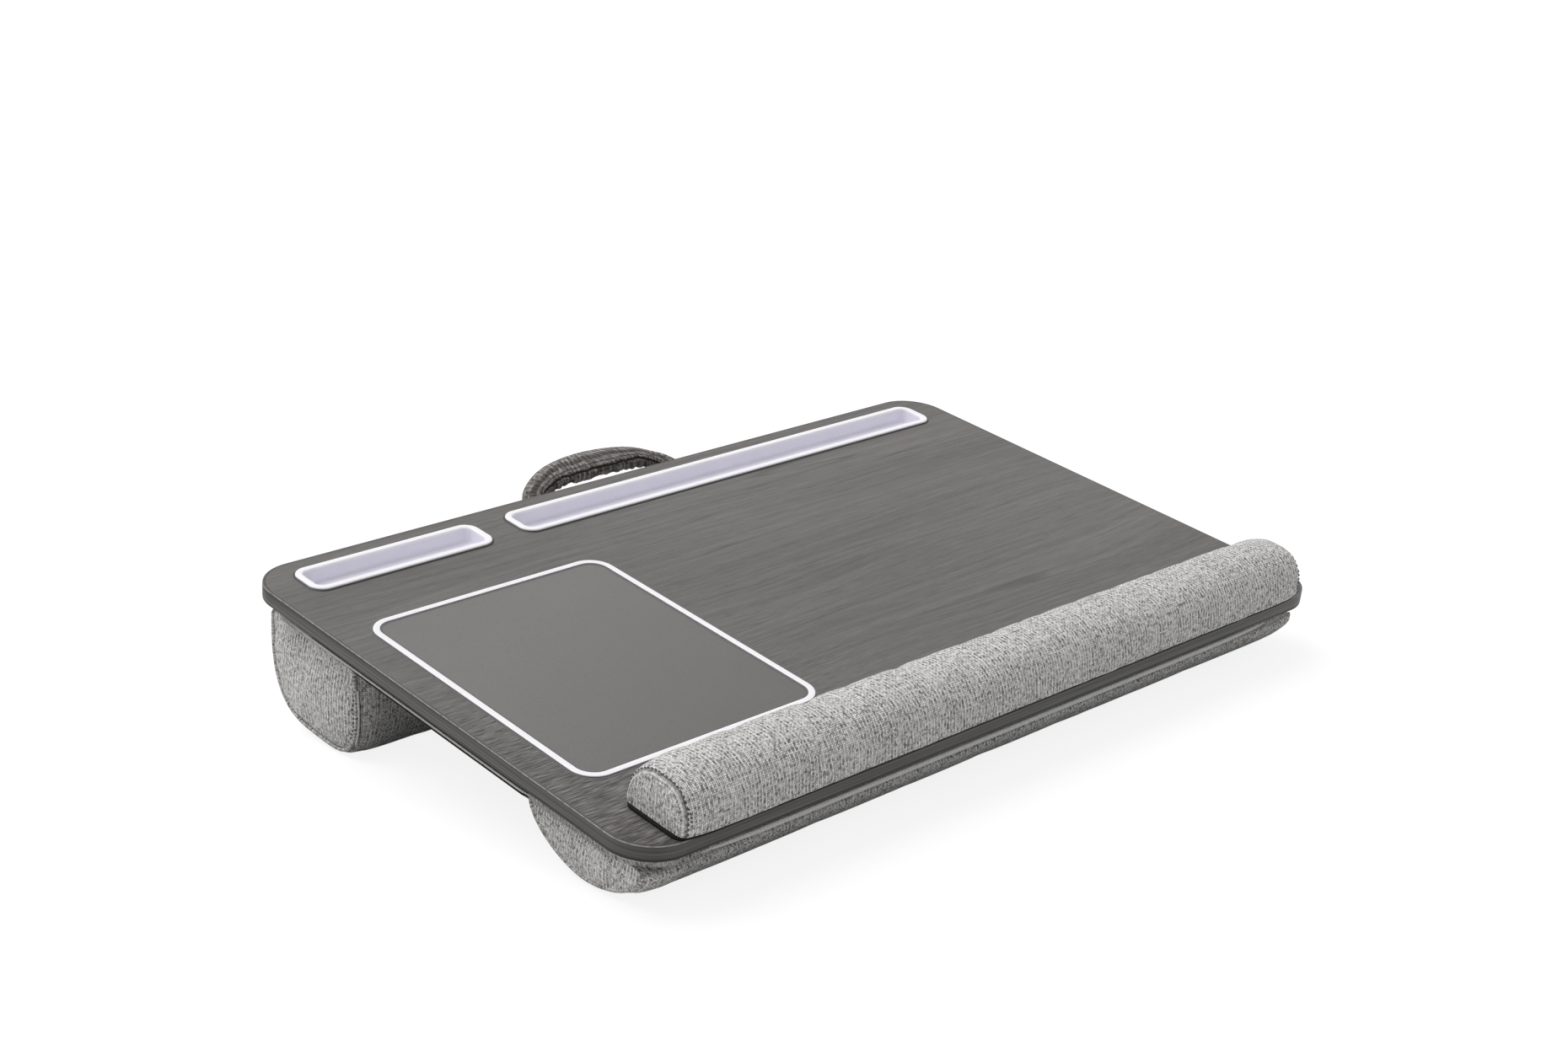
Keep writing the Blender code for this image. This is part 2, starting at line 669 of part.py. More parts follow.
def make_desk():
    for old in list(bpy.data.objects):
        bpy.data.objects.remove(old)

    panel_bottom = -BOARD_THICKNESS - PANEL_THICKNESS
    ends = (BOLSTER_END_INSET, BOARD_WIDTH - BOLSTER_END_INSET)
    front_roll = Roll(
        ends, FRONT_BOLSTER_Y, FRONT_BOLSTER_DEPTH, panel_bottom - GAP, -FRONT_BOLSTER_DROP,
        FRONT_POWERS, 0.0, FRONT_BOLSTER_END_DRAW, FRONT_BOLSTER_END_ROUND,
    )
    rear_roll = Roll(
        ends, REAR_BOLSTER_Y, REAR_BOLSTER_DEPTH, panel_bottom - GAP, -REAR_BOLSTER_DROP,
        REAR_POWERS, REAR_LEAN_SHARE, REAR_BOLSTER_END_DRAW, REAR_BOLSTER_END_ROUND,
    )
    tilt, reach = stand_angle(front_roll, rear_roll)

    root = bpy.data.objects.new("desk_root", None)
    bpy.context.scene.collection.objects.link(root)
    root.rotation_euler = (tilt, 0.0, 0.0)
    root.location = (-BOARD_WIDTH / 2, 0.0, reach - FLOOR_CUT)

    floor = box_cutter(
        "floor_cut",
        (-BOARD_WIDTH, -BOARD_DEPTH, -BOARD_THICKNESS),
        (BOARD_WIDTH, 2 * BOARD_DEPTH, 0.0),
        None,
    )
    board = make_board(root)
    tablet_left = TRAY_SIDE_MARGIN + PHONE_TRAY_LENGTH + TRAY_SPACING
    make_tray("phone_tray", tray_rect(TRAY_SIDE_MARGIN, PHONE_TRAY_LENGTH), board, root)
    tablet_length = BOARD_WIDTH - TRAY_SIDE_MARGIN - tablet_left
    make_tray("tablet_tray", tray_rect(tablet_left, tablet_length), board, root)
    make_mouse_pad(board, root)
    make_wrist_rest(root)
    panel_pieces = make_panel(root)
    make_bolster("front_bolster", front_roll, floor, root)
    make_bolster("rear_bolster", rear_roll, floor, root)
    make_handle(board, panel_pieces, root)
    centre_in_plan(root)


make_desk()
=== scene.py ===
"""The looks of the lap desk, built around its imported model.

The pieces are drawn in the board's own frame: X to the right along its front edge, Y to the back, Z up
from its top face, in metres. BOARD turns that frame into the model's.
"""

import json
import math

import bmesh
import bpy
from mathutils import Matrix, Vector, noise
from mathutils.bvhtree import BVHTree


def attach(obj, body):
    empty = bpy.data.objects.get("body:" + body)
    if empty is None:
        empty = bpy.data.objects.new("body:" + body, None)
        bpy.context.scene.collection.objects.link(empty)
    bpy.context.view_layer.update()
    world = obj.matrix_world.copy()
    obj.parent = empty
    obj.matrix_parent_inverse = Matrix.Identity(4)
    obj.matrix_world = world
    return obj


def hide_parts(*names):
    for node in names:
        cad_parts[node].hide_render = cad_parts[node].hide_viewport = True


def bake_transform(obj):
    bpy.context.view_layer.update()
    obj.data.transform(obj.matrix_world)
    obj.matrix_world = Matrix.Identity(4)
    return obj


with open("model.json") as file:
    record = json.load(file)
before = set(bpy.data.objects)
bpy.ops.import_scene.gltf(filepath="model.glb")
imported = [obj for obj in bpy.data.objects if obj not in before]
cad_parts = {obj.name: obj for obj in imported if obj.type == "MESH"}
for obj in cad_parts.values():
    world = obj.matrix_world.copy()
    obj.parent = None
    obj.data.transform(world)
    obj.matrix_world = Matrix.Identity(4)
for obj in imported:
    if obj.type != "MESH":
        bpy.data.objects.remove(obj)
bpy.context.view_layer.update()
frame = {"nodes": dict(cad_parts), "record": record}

MM = 0.001

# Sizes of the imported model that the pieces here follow
BOARD_WIDTH = 0.549
BOARD_DEPTH = 0.362
BOARD_THICKNESS = 0.0093
BOARD_CORNER_RADIUS = 0.027
GAP = 0.0003
PHONE_TRAY = (0.0218, 0.3193, 0.1499, 0.3497)
TABLET_TRAY = (0.1722, 0.3193, 0.5272, 0.3497)
TRAY_CORNER_RADIUS = 0.0095
TRAY_RIM_WIDTH = 0.0057
TRAY_RIM_HEIGHT = 0.0016
TRAY_WALL = 0.0016
TRAY_FLOOR = 0.0015
PAD_TRIM = (0.0203, 0.0683, 0.1890, 0.2735)
PAD_TRIM_BREADTH = 0.0058
PAD_TRIM_RADIUS = 0.016
PAD_TRIM_PROUD = 0.0008
PAD_BOTTOM = -0.0017
PAD_TOP = 0.0002
PANEL_INSET = 0.006
PANEL_CORNER_RADIUS = 0.03
PANEL_BOTTOM = -0.0189
PIPING_RADIUS = 0.0011
WRIST_ENDS = (0.0246, 0.5244)
BOLSTER_ENDS = (0.011, 0.538)
HANDLE_OUTER_SPAN = 0.132
HANDLE_INNER_SPAN = 0.100
HANDLE_REACH = 0.0405
HANDLE_FINGER_GAP = 0.0155
HANDLE_THICKNESS = 0.0076
HANDLE_ROOT_THICKNESS = 0.0024
HANDLE_LEAD = 0.003
HANDLE_RISE = 0.0075
HANDLE_PIVOT_OFFSET = 0.0032
TAB_THICKNESS = 0.004
TAB_FRONT = 0.3053
PIVOT = (BOARD_WIDTH / 2, BOARD_DEPTH + HANDLE_PIVOT_OFFSET, -BOARD_THICKNESS - GAP - TAB_THICKNESS / 2)

mount = next(m for m in frame["record"]["mounts"] if m["name"] == "mouse_pad_top")
normal = Vector(mount["axis"])
TILT = math.atan2(-normal.y, normal.z)
TURN = Matrix.Rotation(TILT, 4, "X")
PAD_MIDDLE = Vector(((PAD_TRIM[0] + PAD_TRIM[2]) / 2, (PAD_TRIM[1] + PAD_TRIM[3]) / 2, PAD_TOP))
ORIGIN = Vector(mount["pos_m"]) - TURN @ PAD_MIDDLE
BOARD = Matrix.Translation(ORIGIN) @ TURN


def held(value):
    """The number, held between 0 and 1."""
    return min(max(value, 0.0), 1.0)


def link(name, data):
    """A new object of the scene."""
    made = bpy.data.objects.new(name, data)
    bpy.context.scene.collection.objects.link(made)
    return made


def spread(low, high, steps):
    return [low + (high - low) * step / steps for step in range(steps + 1)]


def distances(points):
    """How far each point lies along the line through them."""
    far = [0.0]
    for here, there in zip(points, points[1:]):
        far.append(far[-1] + (there - here).length)
    return far


# Materials


class Value:
    """The output of a node. Each sum or product with it adds a node."""

    def __init__(self, look, socket):
        self.look = look
        self.socket = socket

    def __add__(self, other):
        return self.look.math("ADD", self, other)

    def __sub__(self, other):
        return self.look.math("SUBTRACT", self, other)

    def __rsub__(self, other):
        return self.look.math("SUBTRACT", other, self)

    def __mul__(self, other):
        return self.look.math("MULTIPLY", self, other)

    def __truediv__(self, other):
        return self.look.math("DIVIDE", self, other)

    def __mod__(self, other):
        return self.look.math("FLOORED_MODULO", self, other)

    def __abs__(self):
        return self.look.math("ABSOLUTE", self)

    def span(self, low, high, to_low=0.0, to_high=1.0):
        """Its place between low and high, held inside, as a number from to_low to to_high."""
        inputs = {"Value": self, "From Min": low, "From Max": high, "To Min": to_low, "To Max": to_high}
        return self.look.node("MapRange", "Result", inputs)

    def blend(self, share, other):
        """This colour blended with another one."""
        return self.look.blend(share, self, other)


class Look:
    """A material, or a world, in the making. Each call adds a node and returns its output."""

    def __init__(self, name, world=None, **constants):
        self.material = world or bpy.data.materials.new(name)
        self.material.use_nodes = True
        self.tree = self.material.node_tree
        self.shader = self.tree.nodes["Background" if world else "Principled BSDF"].inputs
        for socket, value in constants.items():
            self.shader[socket.replace("_", " ")].default_value = value

    def put(self, socket, value):
        """Links an output, or sets a constant. Three numbers for a colour are 8-bit ones, as in a picture."""
        if isinstance(value, Value):
            self.tree.links.new(value.socket, socket)
        elif socket.type == "RGBA" and len(value) == 3:
            socket.default_value = [((part / 255 + 0.055) / 1.055) ** 2.4 for part in value] + [1.0]
        else:
            socket.default_value = value

    def node(self, kind, output, inputs, **settings):
        made = self.tree.nodes.new("ShaderNode" + kind)
        for key, value in settings.items():
            setattr(made, key, value)
        for key, value in inputs.items():
            self.put(made.inputs[key], value)
        return Value(self, made.outputs[output])

    def math(self, operation, first, second=0.0):
        return self.node("Math", 0, {0: first, 1: second}, operation=operation)

    def mix(self, share, first, second):
        """A number between two numbers."""
        return self.node("Mix", 0, {0: share, 2: first, 3: second}, data_type="FLOAT")

    def blend(self, share, first, second):
        """A colour between two colours."""
        return self.node("Mix", 2, {0: share, 6: first, 7: second}, data_type="RGBA")

    def noise(self, where, scale=1.0, detail=2.0, roughness=0.5, distortion=0.0):
        """Soft noise at a point, which may be three numbers. scale may have one number for each axis."""
        if isinstance(where, tuple):
            where = self.join(*where)
        if isinstance(scale, tuple):
            where = self.node("VectorMath", "Vector", {0: where, 1: scale}, operation="MULTIPLY")
            scale = 1.0
        inputs = {"Vector": where, "Scale": scale, "Detail": detail, "Roughness": roughness}
        return self.node("TexNoise", "Fac", {**inputs, "Distortion": distortion})

    def swing(self, *of_noise):
        """Noise that lies around 0."""
        return self.noise(*of_noise) - 0.5

    def join(self, x, y, z):
        return self.node("CombineXYZ", "Vector", {"X": x, "Y": y, "Z": z})

    def split(self, vector):
        first = self.node("SeparateXYZ", "X", {"Vector": vector})
        return [Value(self, socket) for socket in first.socket.node.outputs]

    def place(self):
        """The point in the board's frame."""
        where = self.node("TexCoord", "Object", {})
        inputs = {"Vector": where, "Location": ORIGIN, "Rotation": (TILT, 0.0, 0.0)}
        return self.node("Mapping", "Vector", inputs, vector_type="TEXTURE")

    # The seam attribute darkens a colour: painted shade in seams, grooves and under things, and the grey of
    # the pad trim's flange
    def seam(self):
        return self.node("Attribute", "Fac", {}, attribute_name="seam")

    def finish(self, colour, rough=None, height=None, distance=0.0, strength=1.0):
        """Wires the shader's colour, roughness and bump, and gives the material."""
        self.put(self.shader["Base Color"], colour)
        if rough is not None:
            self.put(self.shader["Roughness"], rough)
        if height is not None:
            bump = self.node("Bump", "Normal", {"Height": height, "Distance": distance, "Strength": strength})
            self.put(self.shader["Normal"], bump)
        return self.material


def woven(name, tones, pitch, relief, dots, melange):
    """A plain weave of melange threads.

    tones are its dark, middle and light colour, and the colour of the painted shade in its gaps and on its
    threads' sides. relief is the height of its threads as a share of their pitch, dots the strength of the
    painted shade in its gaps, and melange how much its threads differ.
    """
    look = Look(name, Roughness=0.93, Sheen_Weight=0.07, Sheen_Roughness=0.55, Specular_IOR_Level=0.25)
    dark, middle, light, gap_shade = tones
    where = look.node("UVMap", "UV", {}, uv_map="weave")
    wander = look.swing(where, 110)
    u, v, _ = look.split(where)
    s = u / pitch + wander * 1.3
    t = v / pitch - wander * 1.1
    warp, weft = [look.math("FLOOR", place) for place in (s, t)]
    warp_over = (warp + weft) % 2

    # The warp is lighter than the weft. Each thread changes its tone along its length, and shows its plies
    warp_tone = look.noise((warp * 7.31, t * 0.3, 0), 1, 2, 0.6)
    weft_tone = look.noise((s * 0.3, weft * 7.31, 9.5), 1, 2, 0.6)
    warp_ply = look.noise((s * 6, t * 0.9, 3), 1, 1)
    weft_ply = look.noise((s * 0.9, t * 6, 5), 1, 1)
    ply = look.mix(warp_over, weft_ply, warp_ply) - 0.5
    patch = look.swing(where, (60, 24, 1), 3, 0.6)
    streak = look.swing((warp * 3.77, t * 0.045, 21), 1, 2, 0.6)
    fleck = look.swing((s * 0.7, t * 0.45, 33), 1, 1)
    paired = warp % 2 - 0.5
    tone = look.mix(warp_over, weft_tone, warp_tone)
    tone = tone.span(0, 1, 0.48 - 0.5 * melange, 0.48 + 0.5 * melange)
    for part, weight in (
        (warp_over, 0.06), (fleck, 1.1 * melange), (paired, 0.12), (ply, 0.3), (patch, 0.12), (streak, 0.2)
    ):
        tone += part * weight
    colour = look.blend(tone.span(0.26, 0.5), dark, middle)
    colour = colour.blend(tone.span(0.5, 0.72), light)

    # Rounded threads, with painted shade on their sides and in the gap where four of them meet
    across = [look.math("FRACT", place) * 2 - 1 for place in (s, t)]
    square_s, square_t = [place * place for place in across]
    round_s, round_t = 1 - square_s, 1 - square_t
    along = look.mix(warp_over, round_s, round_t)
    height = look.mix(warp_over, round_t, round_s) * along.span(0, 1, 0.35, 1)
    colour = colour.blend(height.span(0, 0.35, 0.4, 0), gap_shade)
    corner = (square_s * square_t).span(0.03, 0.38) * patch.span(-0.12, 0.12, dots, 0.6 * dots)
    odd_s, odd_t = [look.math("FLOOR", place + 0.5) % 2 for place in (s, t)]
    colour = colour.blend(corner * look.mix(odd_s * odd_t, 0.35, 1), gap_shade)
    colour = colour.blend(square_s.span(0.5, 1, 0, 0.3), gap_shade)
    # Painted shade where the seam attribute gives it: in the seams and on the cords, on the panel's sides
    # below the board, in the strap's sewn lines and between its puckers
    colour = colour.blend(look.seam() * 0.92, (24, 22, 21))
    return look.finish(colour, None, height + ply * 0.25, pitch * relief, 0.75)


WOOD_GRAIN_DEPTH = 0.12 * MM


def wood_top(name):
    """Printed wood grain along X: short dark strokes and fine fibres, a few long rings, and fine pores."""
    look = Look(name, Specular_IOR_Level=0.4)
    where = look.place()
    x, y, _ = look.split(where)
    bent = look.join(x, y + look.swing(where, (2.4, 7, 0)) * 0.05, 0)
    fibre = look.noise(where, (42, 1250, 0), 4, 0.65)
    streak = look.noise(bent, (5, 240, 0), 4, 0.6)
    cloud = look.noise(bent, (2.2, 18, 0), 3)
    tone = fibre * 0.42 + streak * 0.34 + cloud * 0.24
    colour = look.blend(tone.span(0.5, 0.38), (96, 94, 92), (81, 78, 76))
    colour = colour.blend(tone.span(0.5, 0.62), (111, 108, 105))

    # Short strokes crowd towards the left end, as the print's knotty side
    crowd = (x + cloud * 0.22).span(0.42, 0.1, 0, 0.15) * y.span(0.24, 0.08, 0.15, 1)
    stroke = look.noise(bent, (80, 1200, 0), 2, 0.55)
    strokes = (stroke - (0.65 - crowd)).span(0, 0.04) * crowd.span(0.02, 0.1, 0.45, 0.95)
    bright = stroke.span(0.42, 0.32) * crowd.span(0.03, 0.12, 0.1, 0.75)
    colour = colour.blend(bright, (150, 147, 144))
    rings = look.noise(bent, (0.9, 30, 0), 1)
    line = abs(look.math("FRACT", rings * 11) - 0.5).span(0, 0.07, 1, 0)
    line *= look.noise(bent, (6, 16, 0)).span(0.47, 0.6)
    pores = look.noise(where, (120, 2400, 0)).span(0.61, 0.7)
    marks = look.math("MAXIMUM", look.math("MAXIMUM", strokes, line * 0.6), pores * 0.4)
    colour = colour.blend(marks, (52, 50, 49))
    rough = tone.span(0.35, 0.65, 0.60, 0.48)
    return look.finish(colour, rough, tone - marks * 0.8, WOOD_GRAIN_DEPTH, 0.6)


def wood_edge(name):
    """The band's printed grain along the edge: long layers, a light top edge that is part wear and part
    painted highlight, and a near-black foot that is painted shadow.
    """
    look = Look(name, Specular_IOR_Level=0.4)
    where = look.place()
    _, y, z = look.split(where)
    layer = look.noise(where, (3, 3, 330), 3, 0.65, 0.3)
    fine = look.noise(where, (16, 16, 1500), 3, 0.6)
    tone = look.mix(0.4, layer, fine)
    colour = look.blend(tone.span(0.38, 0.58), (50, 48, 47), (95, 93, 91))
    colour = colour.blend(abs(z + 0.0028).span(0.0008, 0.0022, 0.35, 0), (50, 48, 46))
    ply = look.math("FRACT", z / 0.0023 + look.swing(where, (9, 9, 0)) * 1.1)
    colour = colour.blend(abs(ply - 0.5).span(0.04, 0.16, 0.6, 0), (30, 29, 28))
    # Painted light makes the front side lighter, and the painted shadow of the foot is narrower along the
    # sides than in front
    colour = colour.blend(y.span(0.004, 0) * 0.14, (140, 138, 136))
    foot = y.span(0.08, 0.11, 0.0074, 0.0085)
    colour = colour.blend((z + foot).span(0, -0.0006), (13, 13, 12))
    # A light line along the top edge: part wear, part painted highlight on the rounded edge
    wear_and_highlight = abs(z + 0.0003).span(0.0001, 0.0003, 1, 0)
    wear_and_highlight *= look.noise(where, 260, 3, 0.7).span(0.35, 0.55, 0.25, 0.85)
    colour = colour.blend(wear_and_highlight, (172, 170, 166))
    return look.finish(colour, tone.span(0.35, 0.65, 0.6, 0.45), tone, WOOD_GRAIN_DEPTH, 0.6)


def white_plastic(name, rim, hollow, heights):
    """Moulded plastic, greyer below the heights given, with a faint texture and a few soft scuffs."""
    look = Look(name, Specular_IOR_Level=0.45)
    where = look.place()
    cloud = look.noise(where, 45, 3, 0.6)
    depth = look.split(where)[2].span(*heights)
    colour = look.blend(depth, rim, hollow)
    colour = colour.blend(cloud.span(0.45, 0.75, 0, 0.12), (205, 203, 208))
    # The seam attribute paints shade: the near-black lip and undercut round each tray's rim and the dark line
    # on each side of the pad's trim. It also greys the trim's flange
    colour = colour.blend(look.seam(), (26, 25, 25))
    rough = look.mix(depth, cloud.span(0.3, 0.7, 0.30, 0.42), 0.62)
    return look.finish(colour, rough, look.noise(where, 2600, 2, 0.6), 0.04 * MM, 0.5)


def pad_leather(name):
    """Smooth synthetic leather: a fine pebble grain, soft colour patches, and painted light that makes the
    rear left corner lighter.
    """
    look = Look(name, Specular_IOR_Level=0.35)
    where = look.place()
    cells = {"Vector": where, "Scale": 950, "Randomness": 0.9}
    crease = look.node("TexVoronoi", "Distance", cells, feature="DISTANCE_TO_EDGE").span(0, 0.12)
    fine = look.noise(where, 1900, 3, 0.6)
    patch = look.noise(where, 22, 4, 0.6)
    x, y, _ = look.split(where)
    colour = look.blend(patch.span(0.35, 0.68), (98, 96, 94), (106, 104, 102))
    # Painted light: lighter towards the rear left corner
    colour = colour.blend((y - x * 0.5).span(-0.02, 0.17) * 0.75, (123, 121, 119))
    colour = colour.blend(crease.span(0, 1, 0.30, 0), (78, 76, 74))
    colour = colour.blend(fine.span(0.55, 0.75, 0, 0.25), (138, 136, 134))
    return look.finish(colour, patch.span(0.3, 0.7, 0.5, 0.62), crease + fine * 0.5, 0.06 * MM, 0.7)


def steel(name):
    look = Look(name, Metallic=1)
    brushed = look.noise(look.place(), (300, 300, 3000), 3)
    colour = look.blend(brushed, (165, 165, 168), (205, 205, 208))
    return look.finish(colour, brushed.span(0.3, 0.7, 0.28, 0.45))


def dark_board(name):
    """Stiff black card, with a faint grain along its edge."""
    look = Look(name, Roughness=0.85, Specular_IOR_Level=0.2)
    grain = look.noise(look.place(), (300, 300, 2500), 3)
    return look.finish(look.blend(grain, (14, 14, 13), (32, 31, 30)), None, grain, 0.05 * MM)


def thread(name):
    look = Look(name, Roughness=0.8)
    fibre = look.noise(look.place(), 4200)
    return look.finish(look.blend(fibre, (34, 33, 32), (72, 70, 68)), None, fibre, 0.05 * MM)


FABRIC_TONES = (117, 115, 113), (218, 216, 214), (255, 254, 252), (30, 28, 26)
STRAP_TONES = (86, 80, 77), (130, 125, 121), (178, 173, 169), (42, 37, 35)
# Near-black cloth for the panel's tape and hem: painted shade
SHADOW_TAPE_TONES = (22, 21, 20), (36, 35, 34), (54, 52, 51), (12, 12, 11)
# A near-white copy of the fabric: painted highlight
ROLL_HIGHLIGHT_TONES = (234, 233, 231), (250, 249, 248), (255, 254, 253), (175, 173, 170)
# A near-white cord cloth: painted highlight
CORD_HIGHLIGHT_TONES = (220, 219, 216), (240, 239, 237), (250, 249, 248), (200, 198, 195)
FABRIC = woven("melange_cloth", FABRIC_TONES, 0.00118, 0.28, 1, 0.75)
STRAP_CLOTH = woven("strap_cloth", STRAP_TONES, 0.0018, 0.2, 0.7, 0.8)
SHADOW_TAPE_CLOTH = woven("painted_shadow_tape", SHADOW_TAPE_TONES, 0.0009, 0.2, 0.5, 0.8)
ROLL_HIGHLIGHT_CLOTH = woven("painted_highlight_cloth", ROLL_HIGHLIGHT_TONES, 0.00118, 0.22, 0.5, 0.5)
CORD_HIGHLIGHT_CLOTH = woven("painted_highlight_cord", CORD_HIGHLIGHT_TONES, 0.0009, 0.2, 0.3, 0.6)
BOARD_TOP = wood_top("board_laminate")
BOARD_EDGE = wood_edge("board_edge")
TRAY_PLASTIC = white_plastic("tray_plastic", (253, 252, 255), (237, 235, 245), (0.0010, -0.0004))
TRIM_PLASTIC = white_plastic("trim_plastic", (250, 249, 252), (208, 206, 216), (-0.0002, -0.001))
LEATHER = pad_leather("pad_leather")
STEEL = steel("zinc_steel")
THREAD = thread("dark_thread")
BASE_CARD = dark_board("dark_card")


# Shapes


class Shape:
    """The points and faces of one piece, with a weave coordinate a corner and a seam value a point: how much
    its colour is darkened, mostly as painted shade.
    """

    def __init__(self):
        self.points = []
        self.seams = []
        self.faces = []
        self.maps = []

    def ring(self, points, seam=0.0):
        """The numbers of new points. seam, how much the colour is darkened, mostly as painted shade, is one
        value, or a list of one a point.
        """
        first = len(self.points)
        self.points.extend(Vector(point) for point in points)
        self.seams.extend(seam if isinstance(seam, list) else [seam] * len(points))
        return list(range(first, len(self.points)))

    def bridge(self, low, high, place):
        """Quads between two rings. place(ring, step) is the weave coordinate, ring 0 the low one."""
        for k in range(len(low)):
            n = (k + 1) % len(low)
            self.faces.append((low[k], low[n], high[n], high[k]))
            self.maps.append((place(0, k), place(0, k + 1), place(1, k + 1), place(1, k)))

    def skin(self, rings, place):
        """Quads from each ring to the next. place(k, step) is the weave coordinate on ring k."""
        for k in range(len(rings) - 1):
            self.bridge(rings[k], rings[k + 1], lambda ring, step: place(k + ring, step))

    def flat_face(self, corners, axes):
        """One face, its weave coordinates taken straight from two axes."""
        a, b = axes
        self.faces.append(tuple(corners))
        self.maps.append([(self.points[k][a], self.points[k][b]) for k in corners])

    def close(self, rings, axes):
        """Flat faces over the first and the last ring."""
        self.flat_face(rings[0], axes)
        self.flat_face(rings[-1], axes)

    def build(self, name, look, nodes=(), crease_angle=None):
        """The piece as an object at the model's origin, on the desk, in the place of the nodes."""
        data = bpy.data.meshes.new(name)
        data.from_pydata([BOARD @ point for point in self.points], [], self.faces)
        places = [place for corners in self.maps for place in corners]
        for corner, place in zip(data.uv_layers.new(name="weave").uv, places):
            corner.vector = place
        data.attributes.new("seam", "FLOAT", "POINT").data.foreach_set("value", self.seams)
        mesh = bmesh.new()
        mesh.from_mesh(data)
        bmesh.ops.recalc_face_normals(mesh, faces=mesh.faces)
        mesh.to_mesh(data)
        mesh.free()
        data.shade_smooth()
        if crease_angle is not None:
            data.set_sharp_from_angle(angle=crease_angle)
        data.materials.append(look)
        made = link(name, data)
        if nodes:
            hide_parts(*nodes)
        return made


CORNER_STEPS = 14
LEAST_RADIUS = 0.4 * MM
CREASE_ANGLE = math.radians(50)


def rounded_rectangle(rect, radius, inset, height):
    radius = max(radius - inset, LEAST_RADIUS)
    margin = inset + radius
    left, front, right, back = rect[0] + margin, rect[1] + margin, rect[2] - margin, rect[3] - margin
    centres = (right, back), (left, back), (left, front), (right, front)
    points = []
    for quarter, (x, y) in enumerate(centres):
        for step in range(CORNER_STEPS + 1):
            angle = (quarter + step / CORNER_STEPS) * math.pi / 2
            points.append(Vector((x + radius * math.cos(angle), y + radius * math.sin(angle), height)))
    return points


def arc(centre, radius, start, end, steps):
    """Points of an arc in inset and height, its angles in degrees from the inset's axis."""
    angles = [math.radians(angle) for angle in spread(start, end, steps)]
    return [(centre[0] + radius * math.cos(angle), centre[1] + radius * math.sin(angle)) for angle in angles]


def stacked(name, rect, radius, profile, look, nodes, capped, seams=None):
    """A piece through rounded rectangles, each given by its inset and its height."""
    shape = Shape()
    rings = []
    lengths = []
    for step, (inset, height) in enumerate(profile):
        points = rounded_rectangle(rect, radius, inset, height)
        rings.append(shape.ring(points, seams[step] if seams else 0.0))
        lengths.append(distances(points + points[:1]))
    run = [0.0]
    for here, there in zip(profile, profile[1:] if capped else profile[1:] + profile[:1]):
        run.append(run[-1] + math.dist(here, there))
    for k in range(len(run) - 1):
        shape.bridge(
            rings[k], rings[(k + 1) % len(rings)], lambda ring, step: (lengths[k][step], run[k + ring])
        )
    if capped:
        shape.close(rings, (0, 1))
    piece = shape.build(name, look, nodes, CREASE_ANGLE)
    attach(piece, "desk")
    return piece


def make_edge_band():
    """The band round the board, rounded along both edges and closed against the core."""
    top_round = 0.65 * MM
    low_round = 0.6 * MM
    inner = 1.45 * MM
    bottom = -BOARD_THICKNESS
    profile = [(inner, bottom)]
    profile += arc((low_round, bottom + low_round), low_round, 270, 180, 4)
    profile += arc((top_round, -top_round), top_round, 180, 90, 6)
    profile += [(inner, 0.0)]
    rect = (0.0, 0.0, BOARD_WIDTH, BOARD_DEPTH)
    look, nodes = BOARD_EDGE, ["edge_band"]
    stacked("board_edge_band", rect, BOARD_CORNER_RADIUS, profile, look, nodes, False)


def make_tray(name, rect, node):
    """A moulded tray: a rounded rim with a near-black lip and undercut under it, painted shadow, then
    straight walls and a filleted floor.
    """
    wall = TRAY_RIM_WIDTH - TRAY_WALL
    bottom = -BOARD_THICKNESS
    floor = TRAY_FLOOR - BOARD_THICKNESS
    top = TRAY_RIM_HEIGHT
    outer_round = 0.9 * MM
    inner_round = 1.0 * MM
    fillet = 2.0 * MM
    foot = 0.6 * MM
    crown = 0.06 * MM
    shadow_reach = 1.1 * MM
    shadow_low = 0.02 * MM
    opening = TRAY_RIM_WIDTH - 1.1 * MM
    filleted = opening + 0.5 * MM + fillet
    profile = [(wall + foot, bottom), (wall + foot / 4, bottom + foot / 4), (wall, bottom + foot)]
    profile += [(wall, shadow_low), (-shadow_reach, shadow_low), (-shadow_reach, 0.1 * MM)]
    profile += [(0.05 * MM, 0.5 * MM)]
    profile += arc((outer_round, top - outer_round), outer_round, 180, 90, 6)
    profile += [(opening / 2, top + crown)]
    profile += arc((opening - inner_round, top - inner_round), inner_round, 90, 0, 6)
    profile += arc((filleted, floor + fillet), fillet, 180, 270, 6)
    profile += [(filleted + 2.0 * MM, floor)]
    # The lip on the board and the undercut are near black, a painted shadow round the rim
    seams = [0.0] * 3 + [1.0] * 4 + [0.0] * (len(profile) - 7)
    stacked(name, rect, TRAY_CORNER_RADIUS, profile, TRAY_PLASTIC, [node], True, seams)


